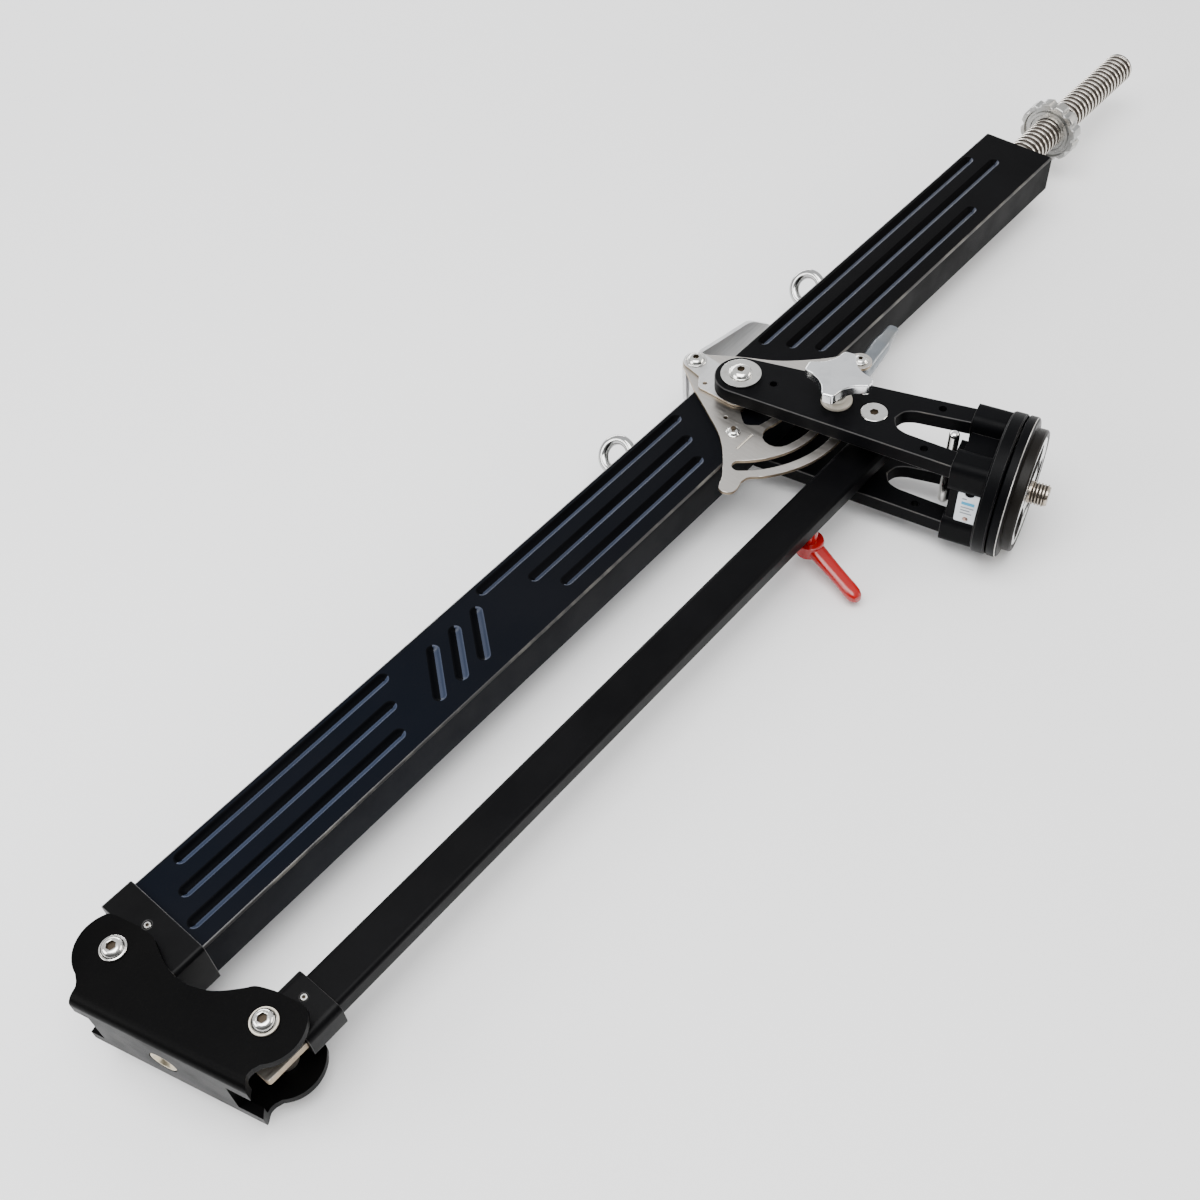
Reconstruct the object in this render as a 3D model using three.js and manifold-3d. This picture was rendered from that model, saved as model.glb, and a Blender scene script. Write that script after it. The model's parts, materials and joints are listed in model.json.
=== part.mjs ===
// A compact parallelogram camera crane (jib arm), lying on its side: the tilt pivots point up (+Z),
// the main arm points its counterweight rod along +X, and the pan axis leaves the yoke in the XY plane.
// Millimetres. The origin is the centre of the flat end of the tripod stud, on the pan axis.
import * as THREE from "three";
import { mergeVertices } from "three/addons/utils/BufferGeometryUtils.js";
import Module from "manifold-3d";

const wasm = await Module();
wasm.setup();

// ---------------------------------------------------------------- driving dimensions (mm)
// Plan positions are measured from the main pivot, with the main arm along X.
const GAP = 0.3; // room left between pieces that touch
const PIVOT_SPACING = 94.7; // main arm pivot to lower arm pivot, at both ends
const ARM_LENGTH = 535.7; // front pivot to main pivot
const YOKE_ANGLE = THREE.MathUtils.degToRad(-75.3); // pan axis, and main arm pivots to lower arm pivots
const YOKE_RISE = 4.4; // pan axis above the arms' middle plane, as the sector plate lies on one side only
const SIDES = { upper: 1, lower: -1 };

const tube = { front: -521, rear: 372.8, width: 60, height: 30, wall: 4, corner: 2 };
const groove = { width: 7.6, depth: 2.2, rows: [22.2, 4, -14.2] };
const grooveSets = [
  { starts: [-481, -492, -501], ends: [-320, -331, -341.5] },
  { starts: [-240.3, -211.7, -201.5], ends: [-40.3, -51.3, -62.3] },
  { starts: [53.6, 62.4, 72.1], ends: [335, 344, 280] },
];
const emblem = { centres: [-300, -281, -262], length: 34, lean: 0.9 };

const lower = { width: 25.6, height: 14.4, wall: 2, corner: 3, tail: 15 };
const sleeve = { front: 11.7, rear: 31.8, halfWidth: 31.8, halfHeight: 18, corner: 3 };
const lowerSleeve = { front: 9.5, rear: 32.5, halfWidth: 17, halfHeight: 10.5, corner: 5 };
const tongue = { bottom: -1.5, top: 4, halfWidth: 14, tailHalf: 10.3, front: 17, rear: 32 };

// The bracket's own plan: X towards the lower arm's pivot, Y away from the camera face.
const bracket = { face: -33, web: 5, ear: 5, halfHeight: 26.2, lobe: 21.6, top: 16, bend: 6 };
const bracketFoot = { left: -4.5, right: 105.5, leftNotch: 4.5, rightNotch: 90.2, notchHalf: 13 };
const insert = { radius: 8.25, hole: 4.75, flange: 10.5, flangeDepth: 3 };
const pivotScrew = { shaft: 4, head: 7.5, flange: 1.2, dome: 6 };
const washedScrew = { head: 7.8, flange: 2.2, dome: 6.4 }; // a loose washer under its head counts as flange

const plate = { bottom: 15.3, top: 17.8, rim: 79.5, pivotHole: 6.4 };
const link = { bottom: 18.1, top: 19.6 };
const corner = { x: 7.6, y: 44.8 }; // corner lobe of the fulcrum plate
const rightLobe = { x: 78, y: -46, radius: 8.2 };
const plateScrew = { x: -32.7, y: -18.7 };
const web = { y: 48.2, thickness: 3, left: 0, shoulder: 19.5, crest: 17.3 };

// The yoke's heights are measured from the pan axis.
const yoke = { inner: 20.6, outer: 31.3, end: 156, nose: 18, flare: 0.07 };
const yokeWindow = { apex: 109, neck: 119, neckHalf: 11, endHalf: 14.5 };
const base = { lugInner: 12.5, lugOuter: 33, lugTop: 36, blockHalf: 29.7, valley: 25, disc: 179 };
const seatBlock = { start: 152.9, halfWidth: 10, halfHeight: 20 };
const pan = { discEnd: 188.6, discRadius: 47.6, bore: 16.3, boreStart: 163 };
const adapter = { start: 189.7, shoulder: 196.5, radius: 47.5, step: 41.2, nose: 40.2, face: 204 };
const spokes = { radius: 36.8, start: 199.4, end: 203.7, pocketDepth: 3.2 };
const stud = { radius: 7.5, end: 216 };
const label = { start: 163.5, length: 15, halfHeight: 13.2, thickness: 0.8, rivet: -9.7 };
const clampScrew = { s: 149, radius: 3.6, bottom: -31, top: 33.3 };

const knob = { s: 68.4, bottom: 48.1, top: 56.1, tip: 22.4, tipHalf: 4.2, waist: 7.1, stem: 6.5, stud: 3.5 };
const slotNut = { radius: 6.5, bottom: 5, top: 10.6 };
const zincLever = { hub: 7.6, bottom: -4, top: 14, tip: { x: 130.5, y: -40.5 }, collar: 5.6 };
const redLever = { x: -51.5, y: -97.5, neck: 5, hub: 9.5, hubTop: -19.4, reach: 48, heading: -104 };

const rod = { radius: 12.5, end: 546.7, shank: 8 };
const nut = { front: 422.3, thickness: 11, outer: 25, scallop: 5.2, scallops: 12, hub: 17, bore: 15.8 };
const nutInsert = { outer: 15.5, inner: 12.8 };
const plug = { length: 32, clearance: 0.3 };
const eye = { y: 45.2, z: -5.5, ring: 11, wire: 3.6, collar: 6.6, collarHeight: 3.2, neck: 3.8 };
const eyes = { front: { x: -80, tilt: -45 }, rear: { x: 145, tilt: -50 } };

// ---------------------------------------------------------------- solids from three.js geometry
const FINE = 3; // steps on each spline span of a large outline, and twice that on each arc

function solid(geometry) {
  const bare = new THREE.BufferGeometry();
  bare.setAttribute("position", geometry.getAttribute("position").clone());
  if (geometry.index) bare.setIndex(geometry.index.clone());
  const merged = mergeVertices(bare, 1e-4);
  return new wasm.Manifold(
    new wasm.Mesh({
      numProp: 3,
      vertProperties: merged.getAttribute("position").array,
      triVerts: new Uint32Array(merged.index.array),
    }),
  );
}

const cut = (body, ...tools) => tools.reduce((left, tool) => left.subtract(tool), body);
const join = (body, ...others) => others.reduce((sum, other) => sum.add(other), body);

function geometryOf(body) {
  const { vertProperties, triVerts } = body.getMesh();
  const geometry = new THREE.BufferGeometry();
  geometry.setAttribute("position", new THREE.BufferAttribute(new Float32Array(vertProperties), 3));
  geometry.setIndex(new THREE.BufferAttribute(new Uint32Array(triVerts), 1));
  geometry.computeVertexNormals();
  return geometry;
}

// A flat outline pushed along Z, between two heights given in either order.
function slab(shape, from, to, curveSegments = 4) {
  const low = Math.min(from, to);
  const depth = Math.abs(to - from);
  const geometry = new THREE.ExtrudeGeometry(shape, { depth, bevelEnabled: false, curveSegments });
  return solid(geometry.translate(0, 0, low));
}

// An outline drawn in the YZ plane and pushed along X.
function bar(shape, from, to, curveSegments = 6) {
  const geometry = new THREE.ExtrudeGeometry(shape, {
    depth: to - from,
    bevelEnabled: false,
    curveSegments,
  });
  const turn = new THREE.Matrix4().makeBasis(
    new THREE.Vector3(0, 1, 0),
    new THREE.Vector3(0, 0, 1),
    new THREE.Vector3(1, 0, 0),
  );
  return solid(geometry.applyMatrix4(turn).translate(from, 0, 0));
}

// A turned piece: [radius, height] points from the lower axis point, up the outside, back to the axis.
function turned(profile, axis = "z", segments = 20) {
  const points = profile.map(([radius, height]) => new THREE.Vector2(radius, height));
  const geometry = new THREE.LatheGeometry(points, segments);
  if (axis === "z") geometry.rotateX(Math.PI / 2);
  if (axis === "x") geometry.rotateZ(-Math.PI / 2);
  return solid(geometry);
}

function rodAlong(axis, radius, from, to, segments = 16) {
  const low = Math.min(from, to);
  const high = Math.max(from, to);
  return turned([[0, low], [radius, low], [radius, high], [0, high]], axis, segments);
}

function sleeveAlong(axis, outer, inner, from, to, segments = 20) {
  const low = Math.min(from, to);
  const high = Math.max(from, to);
  return cut(
    rodAlong(axis, outer, low, high, segments),
    rodAlong(axis, inner, low - 1, high + 1, segments),
  );
}

const box = (x, y, z, at) => solid(new THREE.BoxGeometry(x, y, z).translate(...at));

function roundedRect(x0, y0, x1, y1, radius) {
  const shape = new THREE.Shape();
  shape.moveTo(x0 + radius, y0);
  shape.lineTo(x1 - radius, y0);
  shape.absarc(x1 - radius, y0 + radius, radius, -Math.PI / 2, 0);
  shape.lineTo(x1, y1 - radius);
  shape.absarc(x1 - radius, y1 - radius, radius, 0, Math.PI / 2);
  shape.lineTo(x0 + radius, y1);
  shape.absarc(x0 + radius, y1 - radius, radius, Math.PI / 2, Math.PI);
  shape.lineTo(x0, y0 + radius);
  shape.absarc(x0 + radius, y0 + radius, radius, Math.PI, 1.5 * Math.PI);
  return shape;
}

// A straight slot with round ends between two centres.
function slotShape(x0, y0, x1, y1, width) {
  const heading = Math.atan2(y1 - y0, x1 - x0);
  const shape = new THREE.Shape();
  shape.absarc(x1, y1, width / 2, heading - Math.PI / 2, heading + Math.PI / 2);
  shape.absarc(x0, y0, width / 2, heading + Math.PI / 2, heading + 1.5 * Math.PI);
  return shape;
}

// A curved slot with round ends about the main pivot, from one polar angle to another.
function arcSlot(inner, outer, startDegrees, endDegrees) {
  const start = THREE.MathUtils.degToRad(startDegrees);
  const end = THREE.MathUtils.degToRad(endDegrees);
  const middle = (inner + outer) / 2;
  const half = (outer - inner) / 2;
  const shape = new THREE.Shape();
  shape.absarc(0, 0, outer, start, end);
  shape.absarc(middle * Math.cos(end), middle * Math.sin(end), half, end, end + Math.PI);
  shape.absarc(0, 0, inner, end, start, true);
  const first = { x: middle * Math.cos(start), y: middle * Math.sin(start) };
  shape.absarc(first.x, first.y, half, start + Math.PI, start + 2 * Math.PI);
  return shape;
}

function circle(x, y, radius) {
  const shape = new THREE.Shape().absarc(x, y, radius, 0, Math.PI);
  return shape.absarc(x, y, radius, Math.PI, 2 * Math.PI);
}

const vectors = (pairs) => pairs.map(([x, y]) => new THREE.Vector2(x, y));

// ---------------------------------------------------------------- materials
const paint = (color, metalness, roughness) =>
  new THREE.MeshStandardMaterial({ color, metalness, roughness });
const materials = {
  powderCoat: () => paint(0x17191d, 0.3, 0.5),
  blackSteel: () => paint(0x0f1012, 0.3, 0.4),
  stainless: () => paint(0xb9b7b2, 0.95, 0.3),
  polished: () => paint(0xd8d8d6, 1, 0.15),
  castAlloy: () => paint(0xc9cbcd, 0.9, 0.35),
  zinc: () => paint(0x9aa1a8, 0.9, 0.35),
  brass: () => paint(0xb59a62, 0.95, 0.35),
  redPaint: () => paint(0xc01414, 0.1, 0.2),
  label: () => paint(0xdfe2e4, 0.2, 0.4),
};

const part = new THREE.Group();
const armFrame = new THREE.Group(); // origin at the main pivot, X along the main arm
const yokeFrame = new THREE.Group(); // X along the pan axis, away from the arms
const bracketFrame = new THREE.Group(); // origin at the front pivot, X towards the lower arm's pivot
armFrame.position.set(-stud.end * Math.cos(YOKE_ANGLE), -stud.end * Math.sin(YOKE_ANGLE), -YOKE_RISE);
yokeFrame.rotation.z = YOKE_ANGLE;
yokeFrame.position.z = YOKE_RISE;
bracketFrame.position.set(-ARM_LENGTH, 0, 0);
bracketFrame.rotation.z = YOKE_ANGLE;
armFrame.add(yokeFrame, bracketFrame);
part.add(armFrame);

function add(frame, name, body, material) {
  const mesh = new THREE.Mesh(geometryOf(body), material());
  mesh.name = name;
  frame.add(mesh);
}

// Places that follow from the driving dimensions.
const lowerPivot = {
  x: PIVOT_SPACING * Math.cos(YOKE_ANGLE),
  y: PIVOT_SPACING * Math.sin(YOKE_ANGLE),
};
const frontPivot = { x: -ARM_LENGTH, y: 0 };
const frontLowerPivot = { x: lowerPivot.x - ARM_LENGTH, y: lowerPivot.y };

// ---------------------------------------------------------------- main arm
function tubeSection(width, height, radius) {
  return roundedRect(-width / 2, -height / 2, width / 2, height / 2, radius);
}

function grooveCutters() {
  const cutters = [];
  const face = tube.height / 2;
  const floor = face - groove.depth;
  for (const side of Object.values(SIDES)) {
    for (const set of grooveSets) {
      groove.rows.forEach((y, row) => {
        const inset = groove.width / 2;
        const shape = slotShape(set.starts[row] + inset, y, set.ends[row] - inset, y, groove.width);
        cutters.push(slab(shape, side * floor, side * (face + 1), 2));
      });
    }
    for (const x of emblem.centres) {
      const dx = (emblem.length / 2) * Math.cos(emblem.lean);
      const dy = (emblem.length / 2) * Math.sin(emblem.lean);
      const shape = slotShape(x - dx, -dy, x + dx, dy, groove.width);
      cutters.push(slab(shape, side * floor, side * (face + 1), 2));
    }
  }
  return cutters;
}

function mainTube() {
  const { width, height, wall } = tube;
  const skin = bar(tubeSection(width, height, tube.corner), tube.front, tube.rear, 3);
  const hollow = bar(
    tubeSection(width - 2 * wall, height - 2 * wall, 1),
    tube.front - 1,
    tube.rear + 1,
    1,
  );
  const pivotHole = rodAlong("z", 8.8, -height, height);
  const screwHole = rodAlong("z", 2.4, -height, height, 12).translate(plateScrew.x, plateScrew.y, 0);
  const eyeHoles = Object.values(eyes).map(({ x }) =>
    rodAlong("y", eye.neck + 0.5, width / 2 - wall - 1, width / 2 + 1, 16).translate(x, 0, eye.z),
  );
  return cut(skin, hollow, pivotHole, screwHole, ...eyeHoles, ...grooveCutters());
}

// A black cap over the front end of a tube, with a mouth for the tongue and a hole for a grub screw.
function endCap(cap, frontX, section, tubeFront, mouthHalf, grub) {
  const x0 = frontX + cap.front;
  const x1 = frontX + cap.rear;
  const { halfWidth, halfHeight } = cap;
  const outer = bar(roundedRect(-halfWidth, -halfHeight, halfWidth, halfHeight, cap.corner), x0, x1, 4);
  const bore = bar(
    tubeSection(section.width + 2 * GAP, section.height + 2 * GAP, section.corner),
    tubeFront - GAP,
    x1 + 1,
    4,
  );
  const lips = [-mouthHalf - GAP, tongue.bottom - GAP, mouthHalf + GAP, tongue.top + GAP];
  const mouth = bar(roundedRect(...lips, 0.5), x0 - 1, tubeFront + 1, 1);
  const grubHole = rodAlong("z", 2.5, section.height / 2 - 5, halfHeight + 3, 12);
  return cut(outer, bore, mouth, grubHole.translate(frontX + grub.x, grub.y, 0));
}

// A flat stainless bar that carries an arm's front pivot, wide in front and narrower behind its shoulder.
function tongueBar(pivot, tailHalf, shoulder, clearance) {
  const { halfWidth, front, rear } = tongue;
  const shape = new THREE.Shape();
  shape.moveTo(pivot.x - front + 2, pivot.y - halfWidth);
  shape.lineTo(pivot.x + shoulder, pivot.y - halfWidth);
  shape.lineTo(pivot.x + shoulder, pivot.y - tailHalf);
  shape.lineTo(pivot.x + rear, pivot.y - tailHalf);
  shape.lineTo(pivot.x + rear, pivot.y + tailHalf);
  shape.lineTo(pivot.x + shoulder, pivot.y + tailHalf);
  shape.lineTo(pivot.x + shoulder, pivot.y + halfWidth);
  shape.lineTo(pivot.x - front + 2, pivot.y + halfWidth);
  shape.absarc(pivot.x - front + 2, pivot.y + halfWidth - 2, 2, Math.PI / 2, Math.PI);
  shape.absarc(pivot.x - front + 2, pivot.y - halfWidth + 2, 2, Math.PI, 1.5 * Math.PI);
  shape.holes.push(circle(pivot.x, pivot.y, pivotScrew.shaft + clearance));
  return slab(shape, tongue.bottom, tongue.top, 5);
}

// The stainless sector plate on the main pivot's upper side, with its two curved slots.
function fulcrumPlate() {
  const outline = new THREE.Shape();
  outline.moveTo(-14.4, 29.7);
  outline.splineThru(
    vectors([[-28.4, 6], [-39.7, -11.9], [-52.5, -25], [-68.6, -36.8], [-75.1, -39.7]]),
  );
  outline.splineThru(vectors([[-80.2, -46.3], [-75, -52.1], [-65.6, -50.2], [-54.9, -57.5]]));
  const left = THREE.MathUtils.degToRad(-133.7);
  const right = THREE.MathUtils.degToRad(-39.4);
  outline.absarc(0, 0, plate.rim, left, right);
  outline.splineThru(vectors([[66, -50.3], [71.8, -51.4]]));
  outline.absarc(rightLobe.x, rightLobe.y, rightLobe.radius, -2.42, 1.3);
  outline.splineThru(vectors([[72.4, -31.2], [59.6, -19.2], [43.6, -0.2], [31.2, 22.8], [19.1, 42.9]]));
  outline.absarc(corner.x, corner.y, 9.5, 0.2, 2.6);
  outline.lineTo(-14.4, 29.7);
  const holes = [
    circle(0, 0, plate.pivotHole),
    circle(corner.x, corner.y, 3.4),
    circle(rightLobe.x, rightLobe.y, 3.4),
    circle(plateScrew.x, plateScrew.y, 2.4),
    circle(-24.2, -5.8, 1.5),
    arcSlot(63.8, 73, -147 + 3, -33 - 3),
    arcSlot(37, 58, -111, -69),
    slotShape(-43, -30, -27.5, -30, 1.6),
  ];
  outline.holes.push(...holes);
  const window = new THREE.Shape();
  window.moveTo(-19.3, -16.3);
  window.splineThru(vectors([[-21.2, -21], [-16.5, -28.2]]));
  window.quadraticCurveTo(0, -35, 16.5, -28.2);
  window.splineThru(vectors([[21.2, -21], [19.3, -16.3], [12.9, -9.5]]));
  window.quadraticCurveTo(0, -13.5, -12.9, -9.5);
  outline.holes.push(window);
  return slab(outline, plate.bottom, plate.top, FINE);
}

// The small plate between fulcrum plate and yoke arm, from the corner bolt to the main pivot.
function linkPlate() {
  const outline = new THREE.Shape();
  outline.absarc(0, 0, 13, Math.PI, 2 * Math.PI);
  outline.lineTo(15, 30);
  outline.absarc(corner.x, corner.y, 9, -0.1, 3.1);
  outline.splineThru(vectors([[-4, 33], [-12.4, 27], [-13, 22]]));
  outline.holes.push(circle(0, 0, plate.pivotHole), circle(corner.x, corner.y, 3.4));
  outline.holes.push(circle(-7.3, 25.2, 1.6));
  return slab(outline, link.bottom, link.top);
}

// The skirt folded down from the corner lobe beside the tube, with the spacer round the corner bolt.
// It is drawn with Y downwards, then stood up in the XZ plane.
function saddleWeb() {
  const half = plate.bottom - GAP;
  const shape = new THREE.Shape();
  shape.moveTo(web.left, -half);
  shape.lineTo(web.shoulder, -half);
  shape.lineTo(web.shoulder, -web.crest);
  shape.splineThru(vectors([[46.2, -11.9], [70, -7.6], [77.5, -5.2], [84, -1]]));
  shape.lineTo(97, 9.5);
  shape.quadraticCurveTo(104, 15.5, 101, web.crest);
  shape.lineTo(web.shoulder, web.crest);
  shape.lineTo(web.shoulder, half);
  shape.lineTo(web.left, half);
  const geometry = new THREE.ExtrudeGeometry(shape, { depth: web.thickness, bevelEnabled: false });
  const sheet = solid(geometry.rotateX(-Math.PI / 2).translate(0, web.y, 0));
  const spacer = rodAlong("z", 6.5, -half, half).translate(corner.x, corner.y, 0);
  const hole = rodAlong("z", 3.4, -half - 1, half + 1).translate(corner.x, corner.y, 0);
  return cut(join(sheet, spacer), hole);
}

// A screw with a low round head at each end of its shank.
function throughBolt(place, shank, head, seats, headHeight) {
  const [low, high] = seats;
  return turned([
    [0, low - headHeight], [head, low - headHeight], [head, low], [shank, low],
    [shank, high], [head, high], [head, high + headHeight], [0, high + headHeight],
  ], "z", 24).translate(place.x, place.y, 0);
}

function plateScrewBody() {
  const shank = rodAlong("z", 2.1, 11.5, plate.top + 1, 12);
  const head = rodAlong("z", 5, plate.top + GAP, plate.top + 2.6, 20);
  return join(shank, head).translate(plateScrew.x, plateScrew.y, 0);
}

function eyeBolt({ x, tilt }) {
  const ring = solid(new THREE.TorusGeometry(eye.ring, eye.wire, 8, 20));
  const seat = tube.width / 2 + GAP - eye.y;
  const collar = rodAlong("y", eye.collar, seat, seat + eye.collarHeight, 20);
  const neck = rodAlong("y", eye.neck, seat - 9, -eye.ring + 0.5, 16);
  return join(ring, collar, neck).rotate([0, tilt, 0]).translate(x, eye.y, eye.z);
}

function rearPlug() {
  const halfWidth = tube.width / 2 - tube.wall - plug.clearance;
  const halfHeight = tube.height / 2 - tube.wall - plug.clearance;
  const block = bar(
    roundedRect(-halfWidth, -halfHeight, halfWidth, halfHeight, 1),
    tube.rear - plug.length,
    tube.rear - 0.2,
    2,
  );
  return cut(block, rodAlong("x", rod.shank + GAP, tube.rear - plug.length - 1, tube.rear + 1));
}

function threadedRod() {
  return turned([
    [0, tube.rear - plug.length], [rod.shank, tube.rear - plug.length], [rod.shank, tube.rear + GAP],
    [rod.radius, tube.rear + GAP], [rod.radius, rod.end - 1.5], [rod.radius - 1.5, rod.end], [0, rod.end],
  ], "x", 24);
}

const frontGrub = { x: 20.8, y: 2.3 };
const lowerGrub = { x: 23.9, y: 2.4 };

function grubScrew(low, high, at) {
  return rodAlong("z", 2.1, low, high, 12).translate(at.x, at.y, 0);
}

function addMainArm() {
  const steel = materials.stainless;
  const cap = endCap(sleeve, frontPivot.x, tube, tube.front, tongue.halfWidth, frontGrub);
  const grubPlace = { x: frontPivot.x + frontGrub.x, y: frontGrub.y };
  const grub = grubScrew(tube.height / 2 + 0.4, sleeve.halfHeight + 0.1, grubPlace);
  add(armFrame, "main_tube", mainTube(), materials.powderCoat);
  add(armFrame, "front_sleeve", cap, materials.blackSteel);
  add(armFrame, "front_tongue", tongueBar(frontPivot, tongue.halfWidth, sleeve.front, GAP), steel);
  add(armFrame, "front_grub_screw", grub, steel);
  add(armFrame, "main_pivot_bush", sleeveAlong("z", 8.5, 6.4, -15, 15), materials.brass);
  add(armFrame, "fulcrum_plate", fulcrumPlate(), steel);
  add(armFrame, "link_plate", linkPlate(), steel);
  add(armFrame, "plate_screw", plateScrewBody(), materials.polished);
  add(armFrame, "saddle_web", saddleWeb(), steel);
  const cornerBolt = throughBolt(corner, 3, 7.6, [-plate.bottom, link.top + GAP], 3.2);
  add(armFrame, "corner_bolt", cornerBolt, materials.polished);
  const leverBolt = throughBolt(rightLobe, 3, 5.5, [zincLever.bottom - GAP, plate.top + GAP], 2.3);
  add(armFrame, "lever_pivot_bolt", leverBolt, materials.polished);
  for (const [name, place] of Object.entries(eyes)) {
    add(armFrame, `eye_bolt_${name}`, eyeBolt(place), materials.polished);
  }
  add(armFrame, "rear_plug", rearPlug(), materials.blackSteel);
  add(armFrame, "counterweight_rod", threadedRod(), steel);
}

// ---------------------------------------------------------------- counterweight hand nut
function handNut() {
  const end = nut.front + nut.thickness;
  const body = rodAlong("x", nut.outer, nut.front, end, 36);
  const hub = rodAlong("x", nut.hub, end - 1, end + 3, 32);
  const bites = [];
  for (let i = 0; i < nut.scallops; i += 1) {
    const angle = (2 * Math.PI * (i + 0.5)) / nut.scallops;
    const reach = nut.outer + 2.6;
    const bite = rodAlong("x", nut.scallop, nut.front - 1, end + 0.01, 10);
    bites.push(bite.translate(0, reach * Math.cos(angle), reach * Math.sin(angle)));
  }
  return cut(join(body, hub), rodAlong("x", nut.bore, nut.front - 1, end + 5), ...bites);
}

function addHandNut() {
  add(armFrame, "hand_nut", handNut(), materials.castAlloy);
  const end = nut.front + nut.thickness + 2.5;
  const thread = sleeveAlong("x", nutInsert.outer, nutInsert.inner, nut.front + 0.5, end);
  add(armFrame, "hand_nut_thread", thread, materials.brass);
}

// ---------------------------------------------------------------- lower arm
function lowerTube() {
  const { width, height, wall } = lower;
  const rear = lowerPivot.x + lower.tail;
  const front = frontLowerPivot.x + 13;
  const skin = bar(tubeSection(width, height, lower.corner), front, rear, 4);
  const hollow = bar(tubeSection(width - 2 * wall, height - 2 * wall, 1.5), front - 1, rear + 1, 2);
  const bushHole = rodAlong("z", 8.3, -height, height).translate(lowerPivot.x, 0, 0);
  const leverHole = rodAlong("z", 3.4, -height, 0).translate(redLever.x, redLever.y - lowerPivot.y, 0);
  return cut(skin, hollow, bushHole, leverHole).translate(0, lowerPivot.y, 0);
}

function addLowerArm() {
  const tubeFront = frontLowerPivot.x + 13;
  const shoulder = lowerSleeve.front - GAP;
  const cap = endCap(lowerSleeve, frontLowerPivot.x, lower, tubeFront, tongue.tailHalf + GAP, lowerGrub);
  const grubPlace = { x: frontLowerPivot.x + lowerGrub.x, y: lowerPivot.y + lowerGrub.y };
  const grub = grubScrew(lower.height / 2 + 0.4, lowerSleeve.halfHeight + 0.1, grubPlace);
  const bush = sleeveAlong("z", 8, 5.3, YOKE_RISE - yoke.inner + 0.4, YOKE_RISE + yoke.inner - 0.4);
  const bushPlace = [lowerPivot.x, lowerPivot.y, 0];
  add(armFrame, "lower_tube", lowerTube(), materials.powderCoat);
  add(armFrame, "lower_sleeve", cap.translate(0, lowerPivot.y, 0), materials.blackSteel);
  const flat = tongueBar(frontLowerPivot, tongue.tailHalf, shoulder, 0.6);
  add(armFrame, "lower_tongue", flat, materials.stainless);
  add(armFrame, "lower_grub_screw", grub, materials.stainless);
  add(armFrame, "lower_pivot_bush", bush.translate(...bushPlace), materials.blackSteel);
}

// ---------------------------------------------------------------- levers
// The red handle: a hub on a slim neck, and a blade that falls away from it, drawn with X along the blade.
function redLeverBody() {
  const { neck, hub, hubTop, reach } = redLever;
  const side = new THREE.Shape();
  side.moveTo(-4, hubTop - 1);
  side.splineThru(vectors([[10, hubTop - 1.5], [26, -25.5], [reach - 4, -29.5]]));
  side.quadraticCurveTo(reach + 2, -32, reach, -36.5);
  side.quadraticCurveTo(reach - 3, -39.5, reach - 8, -38);
  side.splineThru(vectors([[24, -33], [8, -29.5], [-4, -29]]));
  const settings = { depth: 20, bevelEnabled: false, curveSegments: 3 };
  const geometry = new THREE.ExtrudeGeometry(side, settings);
  const blade = solid(geometry.rotateX(Math.PI / 2).translate(0, 10, 0));
  const plan = new THREE.Shape();
  plan.moveTo(-6, -6.5);
  plan.lineTo(reach - 6, -5);
  plan.absarc(reach - 5, 0, 5, -Math.PI / 2, Math.PI / 2);
  plan.lineTo(-6, 6.5);
  const boss = rodAlong("z", hub, hubTop, -30, 20);
  const stem = rodAlong("z", neck, -lower.height / 2 - 0.5, hubTop - 1);
  const handle = join(blade.intersect(slab(plan, -45, 0)), boss, stem);
  const bore = rodAlong("z", 3.3, -50, 0);
  const headPocket = rodAlong("z", 6.2, -50, -27, 20);
  const turnedHandle = cut(handle, bore, headPocket).rotate([0, 0, redLever.heading]);
  return turnedHandle.translate(redLever.x, redLever.y, 0);
}

function redLeverScrew() {
  const head = rodAlong("z", 5.8, -31, -27.3, 20);
  return join(rodAlong("z", 3, -28, -2), head).translate(redLever.x, redLever.y, 0);
}

// The zinc clamp lever: a round hub, a thick body and a narrower flat tip, drawn with X along the body.
function zincLeverBody() {
  const { tip, hub, bottom, top, collar } = zincLever;
  const reach = Math.hypot(tip.x - rightLobe.x, tip.y - rightLobe.y);
  const tipHalf = 4.6;
  const plan = new THREE.Shape();
  plan.moveTo(0, -6.8);
  plan.splineThru(vectors([[16, -6.4], [32, -6.8], [38, -5.4], [reach - tipHalf, -tipHalf]]));
  plan.absarc(reach - tipHalf, 0, tipHalf, -Math.PI / 2, Math.PI / 2);
  plan.splineThru(vectors([[38, 5.4], [32, 6.8], [16, 6.4], [0, 6.8]]));
  const side = new THREE.Shape();
  side.moveTo(-2, bottom + 1);
  side.splineThru(vectors([[14, -2], [32, 2], [40, 6], [reach + 1, 8]]));
  side.lineTo(reach + 1, 11.5);
  side.splineThru(vectors([[40, 11.5], [32, 12.5], [14, 11], [-2, 9]]));
  const settings = { depth: 30, bevelEnabled: false, curveSegments: 3 };
  const profile = solid(new THREE.ExtrudeGeometry(side, settings).rotateX(Math.PI / 2).translate(0, 15, 0));
  const blade = profile.intersect(slab(plan, -20, 20, 3));
  const post = rodAlong("z", hub, bottom, top);
  const neck = rodAlong("z", collar, bottom, plate.bottom - GAP);
  const heading = THREE.MathUtils.radToDeg(Math.atan2(tip.y - rightLobe.y, tip.x - rightLobe.x));
  const lever = cut(join(post, neck, blade), rodAlong("z", 3.4, -20, 20, 16));
  return lever.rotate([0, 0, heading]).translate(rightLobe.x, rightLobe.y, 0);
}

function addLevers() {
  add(armFrame, "red_lever", redLeverBody(), materials.redPaint);
  add(armFrame, "red_lever_screw", redLeverScrew(), materials.polished);
  add(armFrame, "zinc_lever", zincLeverBody(), materials.zinc);
}

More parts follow.
